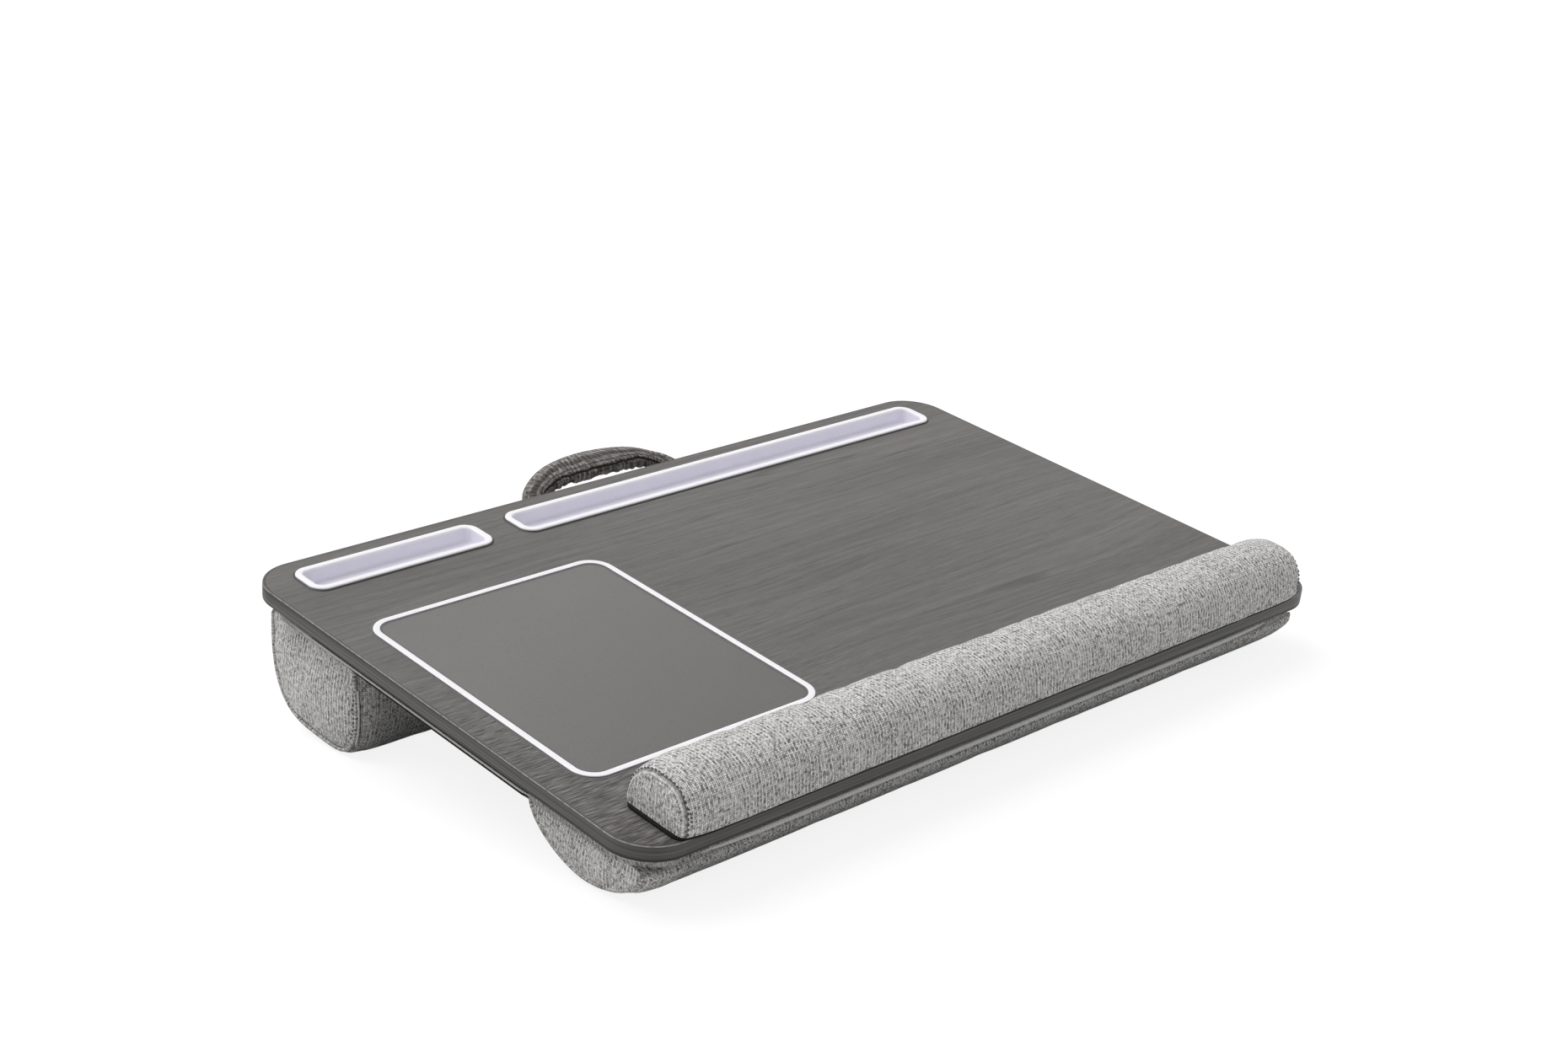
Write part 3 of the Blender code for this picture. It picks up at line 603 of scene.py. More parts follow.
def make_trim():
    """The white frame round the pad, slightly crowned, with a grey flange and a near-black line of painted
    shade on each side.
    """
    edge = 0.35 * MM
    groove = 0.95 * MM
    line = 0.3 * MM
    crown = 0.08 * MM
    lip = 0.4 * MM
    lift = 0.01 * MM
    low = 0.05 * MM
    high = PAD_TOP + low
    top = PAD_TRIM_PROUD
    outer = PAD_TRIM_BREADTH
    inner = outer - groove
    profile = [(-0.1 * MM, PAD_BOTTOM), (-0.1 * MM, lift), (-lip, lift), (-lip, low)]
    profile += [(groove - line, low), (groove, low)]
    profile += arc((groove + edge, top - edge), edge, 180, 90, 5)
    profile += [(outer / 2, top + crown)]
    profile += arc((inner - edge, top - edge), edge, 90, 0, 5)
    profile += [(inner, high), (inner + line, high), (outer + lip, high), (outer + lip, PAD_TOP + lift)]
    profile += [(outer, PAD_TOP + lift), (outer, PAD_BOTTOM)]
    # The flange is greyed, and the line beside the white part is painted shade
    seams = [0.9] * 5 + [1.0] + [0.0] * (len(profile) - 12) + [1.0] + [0.9] * 5
    look, nodes = TRIM_PLASTIC, ["mouse_pad_trim"]
    stacked("pad_trim", PAD_TRIM, PAD_TRIM_RADIUS, profile, look, nodes, False, seams)


TUCK_HEIGHT = 0.0016
TUCK_DEPTH = 0.0011
PROFILE_SAMPLES = 900


class Roll:
    """A soft roll along X with one flat side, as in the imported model."""

    def __init__(self, ends, y_front, depth, z_flat, height, powers, lean_share, end_draw, end_round):
        self.x_start, self.x_end = ends
        self.y_middle = y_front + depth / 2
        self.half_depth = depth / 2
        self.z_flat = z_flat
        self.height = abs(height)
        self.side = math.copysign(1, height)
        self.powers = powers
        self.lean_share = lean_share
        self.end_draw = end_draw
        self.end_round = end_round

    def sides(self):
        """Both ends: the name, the place, and the direction inwards."""
        return ("left", self.x_start, 1), ("right", self.x_end, -1)

    def drawn_in(self, x):
        share = held(1 - min(x - self.x_start, self.x_end - x) / self.end_round)
        return self.end_draw * (1 - math.sqrt(1 - share * share))

    def point(self, x, share, inset=0.0):
        """The point at a share of the profile, from its front foot, at 0, to its rear foot, at 1."""
        inset = inset + self.drawn_in(x)
        angle = math.pi * share
        power = self.powers[0] if share < 0.5 else self.powers[1]
        across = -math.cos(angle)
        rise = max(math.sin(angle), 0.0) ** (2 / power) * (self.height - inset)
        y = self.y_middle + math.copysign(abs(across) ** (2 / power), across) * (self.half_depth - inset)
        y -= self.lean_share * rise * (1 - share)
        tuck = max(1 - rise / TUCK_HEIGHT, 0.0) ** 2 * TUCK_DEPTH
        y += tuck if share < 0.5 else -tuck
        return Vector((x, y, self.z_flat + self.side * rise))

    def even_shares(self, spacing, extra=()):
        """Shares at an even spacing along the profile, and the distance to each.

        extra are distances from both its ends at which it has more of them.
        """
        middle = (self.x_start + self.x_end) / 2
        far = distances([self.point(middle, k / PROFILE_SAMPLES) for k in range(PROFILE_SAMPLES + 1)])
        wanted = spread(0.0, far[-1], round(far[-1] / spacing))
        wanted = sorted(wanted + list(extra) + [far[-1] - distance for distance in extra])
        shares = []
        k = 0
        for distance in wanted:
            while k < PROFILE_SAMPLES - 1 and far[k + 1] < distance:
                k += 1
            shares.append((k + (distance - far[k]) / (far[k + 1] - far[k])) / PROFILE_SAMPLES)
        return shares, wanted


# The wrist rest's cloth ends a little above the board, where its card shows as a near-black line that stands
# in for the shadow at its foot
CARD_SHOWN = 0.0016
WRIST = Roll(
    WRIST_ENDS, y_front=-0.004, depth=0.052, z_flat=GAP + CARD_SHOWN, height=0.0305 - CARD_SHOWN,
    powers=(3.0, 2.1), lean_share=0.0, end_draw=0.0044, end_round=0.027,
)
FRONT = Roll(
    BOLSTER_ENDS, y_front=0.006, depth=0.101, z_flat=PANEL_BOTTOM - GAP, height=-0.0298,
    powers=(1.75, 1.75), lean_share=0.0, end_draw=0.0034, end_round=0.024,
)
REAR = Roll(
    BOLSTER_ENDS, y_front=0.261, depth=0.0915, z_flat=PANEL_BOTTOM - GAP, height=-0.0638,
    powers=(4.2, 3.1), lean_share=0.152, end_draw=0.0028, end_round=0.018,
)

CLOTH_SPACING = 4.2 * MM
CLOTH_FRAMES = 20
CLOTH_SETTINGS = {
    "quality": 6, "mass": 0.12, "air_damping": 2.0, "tension_stiffness": 14.0, "compression_stiffness": 14.0,
    "shear_stiffness": 6.0, "bending_stiffness": 0.35, "use_pressure": True, "uniform_pressure_force": 4.0,
    "shrink_min": -0.02, "vertex_group_mass": "pinned",
}
FLAT_STEPS = 10
END_REACHES = (4.5 * MM, 8.5 * MM, 12.5 * MM)
END_SHARES = (0.985, 0.95, 0.89, 0.81, 0.71, 0.60, 0.48, 0.36, 0.24, 0.12)
END_CROWN_POWER = 2.4
LUMP_FADE = 12 * MM
LARGE_LUMPS = 17.0
SMALL_LUMPS = 43.0


def swell(piece, pinned, cap):
    """Blows the cloth up between its pinned points, lets no point move further than cap, and keeps that."""
    piece.vertex_groups.new(name="pinned").add(pinned, 1.0, "REPLACE")
    cloth = piece.modifiers.new("Cloth", "CLOTH")
    for key, value in CLOTH_SETTINGS.items():
        setattr(cloth.settings, key, value)
    cloth.settings.effector_weights.gravity = 0.0
    cloth.collision_settings.use_collision = False
    cloth.collision_settings.use_self_collision = False
    scene = bpy.context.scene
    for number in range(1, CLOTH_FRAMES + 1):
        scene.frame_set(number)
    evaluated = piece.evaluated_get(bpy.context.evaluated_depsgraph_get())
    moved = [vert.co.copy() for vert in evaluated.to_mesh().vertices]
    evaluated.to_mesh_clear()
    piece.modifiers.remove(cloth)
    piece.vertex_groups.clear()
    scene.frame_set(1)
    for vert, there in zip(piece.data.vertices, moved):
        step = there - vert.co
        if step.length > cap:
            step *= cap / step.length
        vert.co += step


def cushion(name, roll, seam_steps, crown, lump, cap, nodes, edge_rows=()):
    """A stuffed roll: one cloth round it, a crowned end panel at each end, and a seam between them.

    seam_steps are the rings over an end's edge, from the long cloth to the end panel: how far each lies
    inwards from the end and inside the profile, in millimetres, and how much painted shade it gets at the
    seam. edge_rows are distances from the flat side at which more rows keep the cloth's lower edges sharp.
    """
    shape = Shape()
    shares, far = roll.even_shares(CLOTH_SPACING, edge_rows)
    first, last = roll.x_start, roll.x_end

    def loop(x, inset):
        """A closed section: the profile, then the flat side back to its start."""
        points = [roll.point(x, share, inset) for share in shares]
        start, end = points[0], points[-1]
        return points + [end.lerp(start, step / FLAT_STEPS) for step in range(1, FLAT_STEPS)]

    def place(k, step):
        beyond = step - len(far) + 1
        return rows[k][0], far[-1] + beyond * CLOTH_SPACING if beyond > 0 else far[step]

    long_part = first + END_REACHES[-1], last - END_REACHES[-1]
    stations = [first + reach for reach in END_REACHES]
    stations += spread(*long_part, round((long_part[1] - long_part[0]) / CLOTH_SPACING))[1:-1]
    stations += [last - reach for reach in reversed(END_REACHES)]
    rows = [(first + away * MM, inset * MM, seam) for away, inset, seam in reversed(seam_steps)]
    rows += [(x, 0.0, 0.0) for x in stations]
    rows += [(last - away * MM, inset * MM, seam) for away, inset, seam in seam_steps]
    rings = [shape.ring(loop(x, inset), seam) for x, inset, seam in rows]
    shape.skin(rings, place)
    pinned = set()
    for (_, _, seam), ring in zip(rows, rings):
        pinned.update(ring if seam > 0.0 else ring[len(shares):])
        if edge_rows:
            pinned.update(ring[:2] + ring[len(shares) - 2:len(shares)])

    centre = Vector((0.0, roll.y_middle, roll.z_flat + roll.side * roll.height / 2))
    for ring, x, outwards in ((rings[0], first, -1), (rings[-1], last, 1)):
        edge = [shape.points[k] for k in ring]
        middle = Vector((x, centre.y, centre.z))
        for share in END_SHARES:
            points = [middle.lerp(point, share) for point in edge]
            for point in points:
                point.x = x + outwards * crown * (1 - share ** END_CROWN_POWER)
            smaller = shape.ring(points)
            for k in range(len(ring)):
                n = (k + 1) % len(ring)
                shape.flat_face((ring[k], ring[n], smaller[n], smaller[k]), (1, 2))
            ring = smaller
        tip = shape.ring([middle + Vector((outwards * crown, 0, 0))])[0]
        for k in range(len(ring)):
            shape.flat_face((ring[k], ring[(k + 1) % len(ring)], tip), (1, 2))

    # Uneven stuffing, gentle enough to leave the seams where they are
    for k, point in enumerate(shape.points):
        if k in pinned:
            continue
        reach = min(point.x - first, last - point.x)
        height = roll.side * (point.z - roll.z_flat)
        share = held(height / LUMP_FADE) * held(reach / LUMP_FADE)
        push = noise.noise(point * LARGE_LUMPS) * 0.7
        push += noise.noise(point * SMALL_LUMPS + Vector((7, 3, 1))) * 0.3
        outwards = Vector((0.0, point.y - centre.y, point.z - centre.z)).normalized()
        shape.points[k] = point + outwards * push * lump * share

    piece = shape.build(name, FABRIC, nodes)
    swell(piece, sorted(pinned), cap)
    # Nothing reaches below the floor
    for vert in piece.data.vertices:
        vert.co.z = max(vert.co.z, 0.0)
    smooth = piece.modifiers.new("Subdivision", "SUBSURF")
    smooth.levels = smooth.render_levels = 1
    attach(piece, "desk")
    return piece


def circle(middle, side, up, radius, sides):
    turns = [2 * math.pi * step / sides for step in range(sides)]
    return [middle + (side * math.cos(turn) + up * math.sin(turn)) * radius for turn in turns]


def tube(name, path, radius, sides, look, nodes=(), seam=0.0):
    """A closed round tube along a path. radius is one number, or a list of one a point."""
    shape = Shape()
    radii = radius if isinstance(radius, list) else [radius] * len(path)
    rings = []
    for k, point in enumerate(path):
        along = (path[min(k + 1, len(path) - 1)] - path[max(k - 1, 0)]).normalized()
        side = along.orthogonal().normalized() if abs(along.x) > 0.9 else Vector((1, 0, 0))
        side = (side - along * side.dot(along)).normalized()
        rings.append(shape.ring(circle(point, side, along.cross(side), radii[k], sides), seam))
    runs = distances(path)
    side_width = 2 * math.pi * max(radii) / sides
    shape.skin(rings, lambda k, step: (runs[k], step * side_width))
    shape.close(rings, (1, 2))
    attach(shape.build(name, look, nodes), "desk")


STITCH_STEPS = 6
STITCH_SIDES = 7


def stitches(name, piece, line, length, radius, every):
    """Short threads end to end along a line on a piece, each a tapered stitch that dips at its ends."""
    shape = Shape()
    surface = [vert.co for vert in piece.data.vertices], [face.vertices for face in piece.data.polygons]
    tree = BVHTree.FromPolygons(*surface)
    back = BOARD.inverted()
    nearest = [tree.find_nearest(BOARD @ point) for point in line]
    path = [back @ place for place, _, _, _ in nearest]
    normals = [back.to_3x3() @ normal for _, normal, _, _ in nearest]
    far = distances(path)

    def at(distance):
        k = 0
        while k < len(far) - 2 and far[k + 1] < distance:
            k += 1
        share = (distance - far[k]) / (far[k + 1] - far[k])
        return path[k].lerp(path[k + 1], share), normals[k].lerp(normals[k + 1], share).normalized()

    for number in range(int((far[-1] - every) / every)):
        start = every * (number + 0.6)
        rings = []
        for step in range(STITCH_STEPS + 1):
            share = step / STITCH_STEPS
            point, normal = at(start + length * share)
            ahead, _ = at(start + length * share + 0.1 * MM)
            side = (ahead - point).normalized().cross(normal).normalized()
            swelling = math.sin(math.pi * (0.08 + 0.84 * share))
            lift = normal * (swelling - 0.55) * radius
            size = radius * (0.35 + 0.65 * swelling)
            rings.append(shape.ring(circle(point + lift, side, normal, size, STITCH_SIDES)))
        shape.skin(rings, lambda k, step: (step * radius, k * radius))
        shape.close(rings, (1, 2))
    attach(shape.build(name, THREAD), "desk")


CARD_PROUD = 2.0 * MM
CARD_CORNER = 4.5 * MM
CARD_SET_BACK = 1.4 * MM
CARD_STEPS = 160
# Insets and heights over its edge, in millimetres
CARD_PROFILE = ((1.0, 0.06), (0.75, 0.09), (0.65, 0.16), (0.65, 1.6), (0.75, 1.67), (1.0, 1.7))


def make_base_card(roll):
    """The stiff card under the wrist rest. It shows as a near-black line round the foot, a painted shadow
    there.
    """
    shape = Shape()
    front = []
    back = []
    for step in range(CARD_STEPS + 1):
        # Closer together towards both ends, where the outline turns
        share = 0.5 - 0.5 * math.cos(math.pi * step / CARD_STEPS)
        x = roll.x_start + (roll.x_end - roll.x_start) * share
        reach = roll.half_depth - roll.drawn_in(x)
        x += CARD_PROUD * (2 * share - 1)
        bent = held(1 - (CARD_PROUD + min(x - roll.x_start, roll.x_end - x)) / CARD_CORNER)
        reach -= CARD_CORNER * (1 - math.sqrt(1 - bent * bent))
        front.append(Vector((x, roll.y_middle - reach, 0.0)))
        back.append(Vector((x, roll.y_middle + reach, 0.0)))
    rings = []
    for inset, height in CARD_PROFILE:
        ring = []
        for point in front + back[::-1]:
            inwards = Vector((
                math.copysign(inset, roll.x_start + roll.x_end - 2 * point.x),
                math.copysign(inset + CARD_SET_BACK / MM, roll.y_middle - point.y),
                height,
            ))
            ring.append(point + inwards * MM)
        rings.append(shape.ring(ring))
    shape.skin(rings, lambda k, step: (step * MM, k * MM))
    shape.close(rings, (0, 1))
    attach(shape.build("wrist_rest_card", BASE_CARD, ["wrist_rest_base"]), "desk")


def make_wrist_rest():
    # The third value of each step is the painted shade at the seam
    seam_steps = (
        (3.7, 0.0, 0.0), (2.8, 0.1, 0.1), (2.3, 0.45, 0.8), (1.7, 0.5, 0.4), (1.0, 0.75, 0.16),
        (0.0, 1.4, 0.08),
    )
    rest = cushion(
        "wrist_rest", WRIST, seam_steps, crown=1.9 * MM, lump=0.25 * MM, cap=1.2 * MM,
        nodes=["wrist_rest_cover", "wrist_rest_end_left", "wrist_rest_end_right", "wrist_rest_foam"],
        edge_rows=(0.5 * MM, 1.6 * MM),
    )
    make_base_card(WRIST)
    shares, _ = WRIST.even_shares(1.5 * MM)
    for side, x, inwards in WRIST.sides():
        row = [WRIST.point(x + inwards * 2.7 * MM, share) for share in shares]
        stitches(f"wrist_stitches_{side}", rest, row, 1.8 * MM, 0.34 * MM, 2.9 * MM)
        # A bolder row where the seam comes down the front corner
        low = [share for share in shares if 0.02 < share < 0.2]
        row = [WRIST.point(x + inwards * (4.8 - 9 * share) * MM, share) for share in low]
        stitches(f"wrist_corner_{side}", rest, row, 1.3 * MM, 0.5 * MM, 2.3 * MM)


def make_bolster(name, roll, lump, cap, seam, sunk, cord_inset):
    """A bolster with a corded seam round each end. sunk is how deep the seam lies, in millimetres."""
    # The rings at each end's seam get painted shade, as much as seam gives, and the cords a little
    seam_steps = (
        (3.4, 0.0, 0.0), (2.3, 0.02 * sunk, 0.0), (1.7, 0.25 * sunk, seam), (0.9, 0.8 * sunk, seam),
        (0.0, sunk, 0.1),
    )
    nodes = [f"{name}_cover", f"{name}_end_left", f"{name}_end_right", f"{name}_fill"]
    piece = cushion(f"{name}_cushion", roll, seam_steps, 3.2 * MM, lump, cap, nodes)
    shares, _ = roll.even_shares(2.0 * MM)
    for side, x, _ in roll.sides():
        path = [roll.point(x, share, cord_inset) - Vector((0, 0, PIPING_RADIUS)) for share in shares]
        node = f"{name}_piping_{side}"
        tube(f"{name}_cord_{side}", path, PIPING_RADIUS, 12, FABRIC, [node], 0.14)
    return piece


def make_corner_seam(name, piece, roll, inset):
    """The edge of each end's seam down the roll's front corners, in near-white cloth as a painted highlight
    on the piping, with a row of stitches beside it.
    """
    for side, x, inwards in roll.sides():
        edge = [roll.point(x + inwards * 0.5 * MM, 0.015 + 0.2 * step / 60, 0.1 * MM) for step in range(61)]
        tube(f"{name}_edge_{side}", edge, 0.55 * MM, 10, CORD_HIGHLIGHT_CLOTH)
        away = Vector((inwards * 0.6 * MM, 0, 0))
        row = [roll.point(x, 0.015 + 0.3 * step / 90, inset) - away for step in range(91)]
        stitches(f"{name}_stitches_{side}", piece, row, 1.7 * MM, 0.36 * MM, 2.9 * MM)


def panel_trim(name, start, end, thinning, radius, steps, sides, look, at):
    """A tube from start to end that thins out at both. at(place, share of radius) is its point."""
    path = []
    radii = []
    for place in spread(start, end, steps):
        share = min((place - start) / thinning[0], (end - place) / thinning[1], 1.0)
        share = 0.04 + 0.96 * math.sin(math.pi / 2 * share)
        path.append(Vector(at(place, share)))
        radii.append(radius * share)
    tube(name, path, radii, sides, look)


PANEL_SIDE_STEPS = 12
PANEL_CROWN = 0.9 * MM
PANEL_CROWN_POWER = 0.6
ROLL_RADIUS = 1.5 * MM
ROLL_MARGIN = 24 * MM
ROLL_THINNING = 60 * MM
# How far each trim of the panel's sides stands out and lies below the board, its radius, its ends along Y,
# and how long it thins out at both, in millimetres
PANEL_TRIMS = (
    ("cord", 1.6, 5.5, 0.66, (95, 334), (7, 50), CORD_HIGHLIGHT_CLOTH),
    ("tape", 0.7, 5.9, 1.2, (94, 342), (14, 170), SHADOW_TAPE_CLOTH),
    ("hem", 0.4, 8.1, 0.65, (95, 270), (8, 30), SHADOW_TAPE_CLOTH),
)


def make_panel():
    """The padded panel between the board and the bolsters, crowned at its sides, with its trims."""
    left, right = PANEL_INSET, BOARD_WIDTH - PANEL_INSET
    rect = (left, PANEL_INSET, right, BOARD_DEPTH - PANEL_INSET)
    top = -BOARD_THICKNESS - GAP
    thickness = top - PANEL_BOTTOM
    profile = [(60 * MM, top), (2.2 * MM, top)]
    # The panel's sides get painted shade through the seam values: more on their upper half, under the board,
    # and less on their lower half
    seams = [0.0, 0.0]
    for step in range(PANEL_SIDE_STEPS + 1):
        angle = math.pi * (0.5 - step / PANEL_SIDE_STEPS)
        reach = abs(math.cos(angle)) ** PANEL_CROWN_POWER
        profile.append((PANEL_CROWN * (1 - reach), top - thickness * (0.5 - 0.5 * math.sin(angle))))
        seams.append(0.6 if step <= PANEL_SIDE_STEPS / 2 else 0.4)
    profile += [(inset * MM, PANEL_BOTTOM) for inset in (2.6, 6.0, 60)]
    seams += [0.0, 0.0, 0.0]
    nodes = ["base_panel_cover", "base_panel_foam"]
    panel = stacked("padded_panel", rect, PANEL_CORNER_RADIUS, profile, FABRIC, nodes, True, seams)

    # A near-white roll along the front: a painted highlight of the panel's lit upper edge
    panel_trim(
        "panel_roll_front", left + ROLL_MARGIN, right - ROLL_MARGIN, (ROLL_THINNING, ROLL_THINNING),
        ROLL_RADIUS, 160, 14, ROLL_HIGHLIGHT_CLOTH,
        lambda x, share: (x, PANEL_INSET - (0.9 - 2.4 * (1 - share)) * MM, -BOARD_THICKNESS - 6.5 * MM),
    )
    # Along each side a near-white cord, a painted highlight of the panel's lit edge, lies against a
    # near-black tape, a painted shadow below the board, with a near-black hem below as painted shade on the
    # panel's lower edge. They sink into the panel where they thin out
    for name, out, down, radius, ends, thinning, look in PANEL_TRIMS:
        for side, x, outwards in (("left", left, -MM), ("right", right, MM)):
            panel_trim(
                f"panel_{name}_{side}", *ends, thinning, radius * MM, 90, 12, look,
                lambda y, share: (
                    x + outwards * (out - 1.6 * radius * (1 - share)), y * MM, -BOARD_THICKNESS - down * MM
                ),
            )


STRAP_PLUMPNESS = 2.6 * MM
STRAP_OUTER_POWER = 1.88
STRAP_INNER_POWER = 3.5
STRAP_STEPS = 190
STRAP_ROOT_STEPS = 12
STRAP_AROUND = 150
STRAP_RELIEF = 1.1 * MM
STRAP_PUCKER = 1.4 * MM


def strap_section(share):
    """The middle, half width, thickness and fullness of the strap's arch, in the board's frame."""
    angle = math.pi * (1 - share)
    rise_share = max(math.sin(angle), 0.0)

    def outline(span, reach, power):
        across = math.copysign(abs(math.cos(angle)) ** (2 / power), math.cos(angle))
        return Vector((across * span / 2, HANDLE_LEAD + rise_share ** (2 / power) * reach, 0.0))

    behind = HANDLE_PIVOT_OFFSET + HANDLE_LEAD
    outer = outline(HANDLE_OUTER_SPAN, HANDLE_REACH - behind, STRAP_OUTER_POWER)
    inner = outline(HANDLE_INNER_SPAN, HANDLE_FINGER_GAP - behind, STRAP_INNER_POWER)
    middle = (outer + inner) / 2
    middle.z = HANDLE_RISE * rise_share
    swelling = min(rise_share / 0.45, 1.0)
    thickness = HANDLE_ROOT_THICKNESS + (HANDLE_THICKNESS - HANDLE_ROOT_THICKNESS) * swelling
    plump = held((rise_share - 0.5) / 0.4)
    plump = STRAP_PLUMPNESS * plump * plump * (3 - 2 * plump)
    middle.z += plump / 2
    return middle + Vector(PIVOT), (outer - inner) / 2, thickness + plump, swelling


def strap_root(arch_end, share):
    """A section of the strap's root, from its screwed end, at 0, to its arch, at 1."""
    middle, half_width, _, _ = arch_end
    full = TAB_THICKNESS * 0.94
    y = TAB_FRONT + (middle.y - TAB_FRONT) * share
    thickness = full + (HANDLE_ROOT_THICKNESS - full) * share ** 3
    return Vector((middle.x, y, middle.z)), half_width, thickness, 0.0


# The strap's sewn lines: angle round the section from the outer edge over the top, half width in degrees,
# and strength. Past the deepest one, up to the end given, its cloth is gathered into a puckered hem
STRAP_LINES = ((93, 10, 0.55), (127, 9, 0.35), (162, 12, 1.0), (267, 10, 0.5))
STRAP_HEM = (168, 246)


def strap_ring(middle, half_width, thickness, ribs, run):
    """One section: a rounded flat shape with sewn lines, and puckered cloth along its inner edge."""
    points = []
    seams = []
    for k in range(STRAP_AROUND):
        degrees = 360 * (k + 0.5) / STRAP_AROUND
        turn = math.radians(degrees)
        across, up = [math.copysign(abs(n) ** (2 / 3), n) for n in (math.cos(turn), math.sin(turn))]
        outwards = Vector((math.cos(turn) * thickness, math.sin(turn) * half_width.length * 2)).normalized()
        depth = 0.0
        dark = 0.0
        for line, width, strength in STRAP_LINES:
            wander = noise.noise(Vector((run * 90.0, line * 0.1, 0.0))) * (3.0 + 9.0 * strength)
            wander += noise.noise(Vector((run * 400.0, line * 0.1, 3.0))) * 9.0 * strength
            groove = max(1 - abs(degrees - line - wander) / width, 0.0)
            depth = max(depth, groove * strength)
            dark = max(dark, min(groove * 2.0, 1.0) * (0.35 + 0.75 * strength))
        hem = math.sin(math.pi * held((degrees - STRAP_HEM[0]) / (STRAP_HEM[1] - STRAP_HEM[0]))) ** 0.6
        pucker = hem * noise.noise(Vector((run * 380.0, degrees * 0.012, 4.0)))
        rise = 0.25 * MM * math.cos(across * math.pi * 2.4) * (1 - across * across)
        push = ribs * (rise - STRAP_RELIEF * depth + STRAP_RELIEF * hem + STRAP_PUCKER * pucker)
        # shaded: painted shade between the puckers, and a darker middle of the top. dark: painted shade in
        # the sewn lines' grooves
        shaded = 0.16 * held((degrees - 88) / 10) * held((176 - degrees) / 8) + 2.2 * max(-pucker, 0.0)
        points.append(
            middle + half_width * across + half_width.normalized() * outwards.x * push
            + Vector((0, 0, up * thickness / 2 + outwards.y * push))
        )
        seams.append(min(max(dark, shaded), 1.0) * ribs)
    return points, seams


def make_strap():
    """The carrying strap in one piece, from root to root."""
    shape = Shape()
    arch = [strap_section(step / STRAP_STEPS) for step in range(STRAP_STEPS + 1)]
    shares = [step / STRAP_ROOT_STEPS for step in range(STRAP_ROOT_STEPS)]
    sections = [strap_root(arch[0], share) for share in shares] + arch
    sections += [strap_root(arch[-1], share) for share in reversed(shares)]
    runs = distances([section[0] for section in sections])
    rings = []
    for (middle, half_width, thickness, swelling), run in zip(sections, runs):
        rings.append(shape.ring(*strap_ring(middle, half_width, thickness, 0.2 + 0.8 * swelling, run)))
    girth = 2 * HANDLE_THICKNESS + HANDLE_OUTER_SPAN - HANDLE_INNER_SPAN
    shape.skin(rings, lambda k, step: (runs[k], girth * step / STRAP_AROUND))
    shape.close(rings, (0, 2))
    nodes = ["handle_sleeve", "handle_core", "handle_tab_left", "handle_tab_right"]
    strap = shape.build("carrying_strap", STRAP_CLOTH, nodes)
    start, end = [BOARD @ Vector((PIVOT[0], PIVOT[1] + past, PIVOT[2])) for past in (-4 * MM, 6 * MM)]
    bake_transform(strap)
    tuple(start)
    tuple(end)


def dress(node, look):
    materials = frame["nodes"][node].data.materials
    materials.clear()
    materials.append(look)


# The desk

dress("desk_board", BOARD_TOP)
dress("mouse_pad", LEATHER)
for side in ("left", "right"):
    for number in (1, 2):
        dress(f"handle_screw_{side}_{number}", STEEL)

make_edge_band()
make_tray("phone_slot_tray", PHONE_TRAY, "phone_tray")
make_tray("tablet_slot_tray", TABLET_TRAY, "tablet_tray")
make_trim()
make_panel()
make_wrist_rest()
make_bolster("front_bolster", FRONT, 0.2 * MM, 1.2 * MM, 0.06, 1.4, 1.7 * MM)
rear_cushion = make_bolster("rear_bolster", REAR, 0.9 * MM, 2.0 * MM, 0.4, 2.0, 1.2 * MM)
make_corner_seam("rear_bolster", rear_cushion, REAR, 3.4 * MM)
make_strap()


# Camera, light and floor

WHITE = (1.0, 1.0, 1.0, 1.0)
SKY_STRENGTH = 0.41
FLOOR_GLOW = 0.86
FLOOR_SIZE = 60.0
FLOOR_DROP = 0.2 * MM


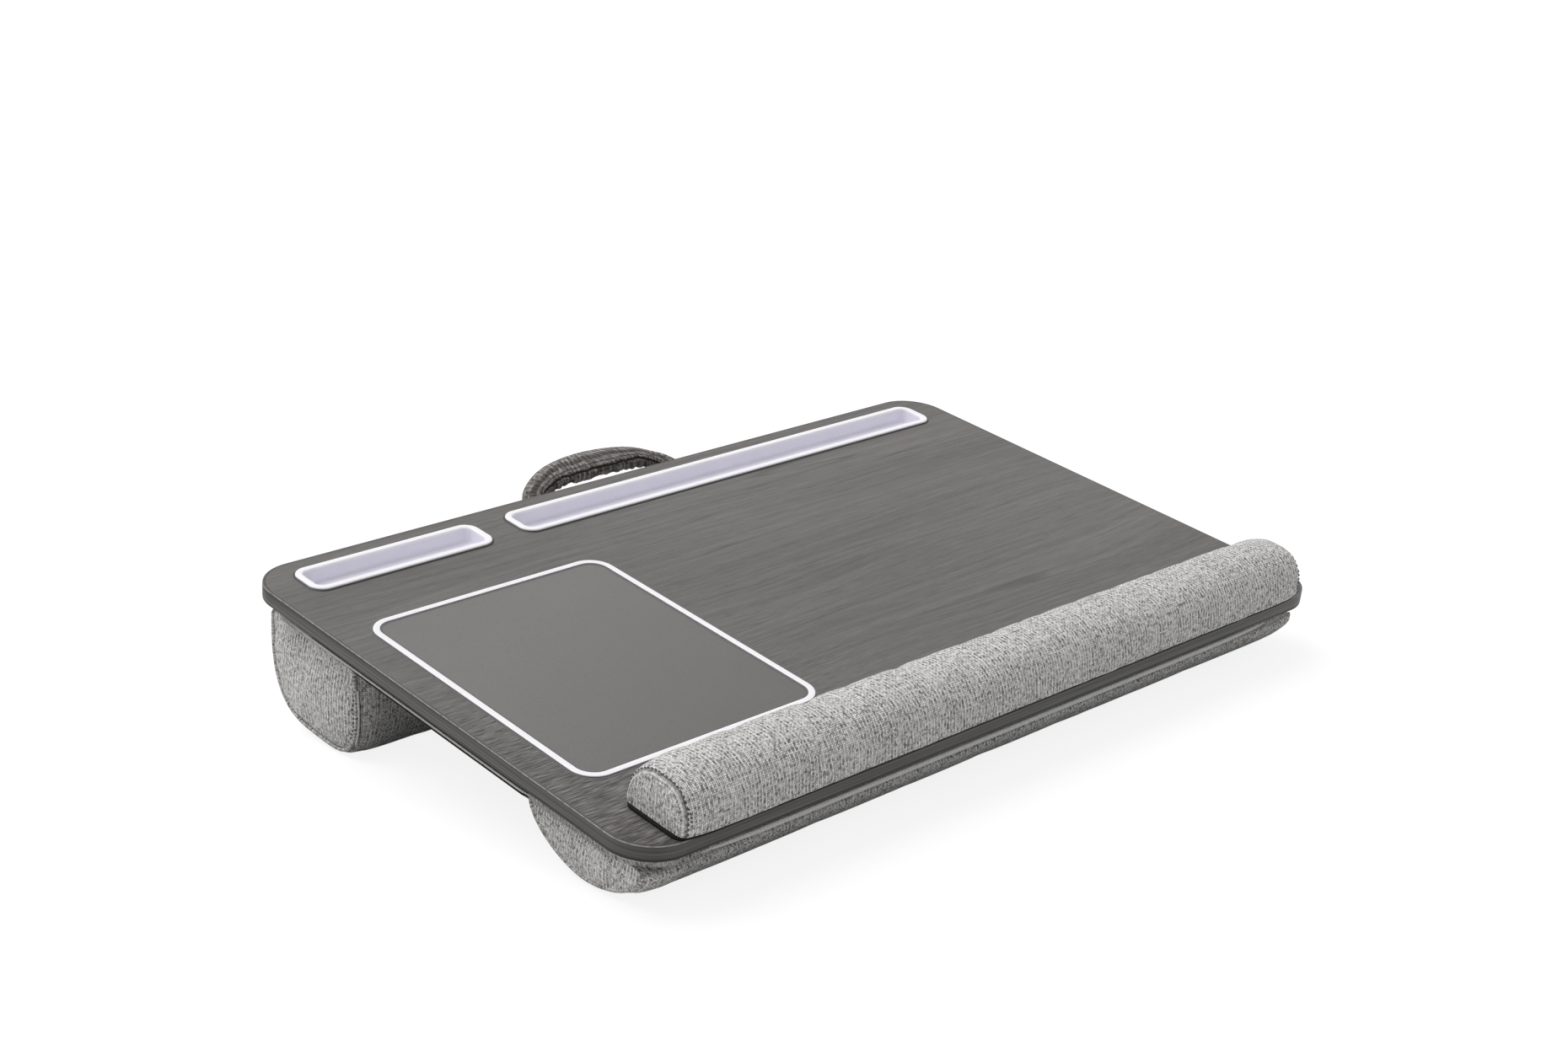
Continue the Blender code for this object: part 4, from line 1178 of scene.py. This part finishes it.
def make_camera():
    """The photograph's camera, fitted in the board's frame."""
    right = Vector((0.73500133, -0.67193400, 0.09098206))
    down = Vector((-0.22159000, -0.36483603, -0.90431883))
    ahead = Vector((0.64083611, 0.64451483, -0.41704883))
    data = bpy.data.cameras.new("camera")
    data.sensor_width = 36.0
    data.lens = 55.9265
    camera = link("camera", data)
    axes = Matrix((right, -down, -ahead)).transposed().to_4x4()
    axes.translation = Vector((-0.66527, -0.74238, 0.64149))
    camera.matrix_world = BOARD @ axes
    bpy.context.scene.camera = camera


def soft_sun(name, direction, strength, angle):
    data = bpy.data.lights.new(name, "SUN")
    data.energy = strength
    data.angle = math.radians(angle)
    link(name, data).rotation_euler = Vector(direction).to_track_quat("-Z", "Y").to_euler()


def seen_directly(look):
    """1 for rays from the camera, a mirror or glass, and 0 for those that only carry light."""
    camera, glossy, glass = [
        look.node("LightPath", f"Is {kind} Ray", {}) for kind in ("Camera", "Glossy", "Transmission")
    ]
    return look.math("MAXIMUM", look.math("MAXIMUM", camera, glossy), glass)


def make_world():
    """Even soft light, and plain white to the camera and to mirrors."""
    world = bpy.data.worlds.new("studio")
    bpy.context.scene.world = world
    look = Look("studio", world, Color=WHITE)
    look.put(look.shader["Strength"], seen_directly(look).span(0.0, 1.0, SKY_STRENGTH, 1.0))


def make_floor():
    """A plain pale floor, white to the camera, that keeps a light shadow. It is darker below the desk."""
    bpy.ops.mesh.primitive_plane_add(size=FLOOR_SIZE, location=(0.0, 0.0, -FLOOR_DROP))
    floor = bpy.context.object
    floor.name = "floor"
    look = Look("floor", Roughness=0.95, Specular_IOR_Level=0.0, Emission_Color=WHITE)
    x, y, _ = look.split(look.node("TexCoord", "Object", {}))
    away = look.math("MAXIMUM", abs(x) - 0.22, abs(y + 0.03) - 0.18)
    bounce = away.span(0.0, 0.08, 0.02, 1.0) * away.span(0.12, 0.45, 1.0, 0.6)
    bounce *= abs(y + 0.01).span(0.03, 0.13, 0.3, 1.0)
    seen = seen_directly(look)
    look.put(look.shader["Emission Strength"], seen * FLOOR_GLOW)
    shade = look.blend(seen, look.join(bounce, bounce, bounce), (0.2, 0.2, 0.2, 1.0))
    floor.data.materials.append(look.finish(shade))


make_camera()
make_world()
make_floor()
soft_sun("key", (0.2, -0.45, -1.0), 2.05, 50)
soft_sun("left_fill", (1.0, 0.1, -0.45), 0.05, 60)
bpy.context.scene.view_settings.view_transform = "Standard"
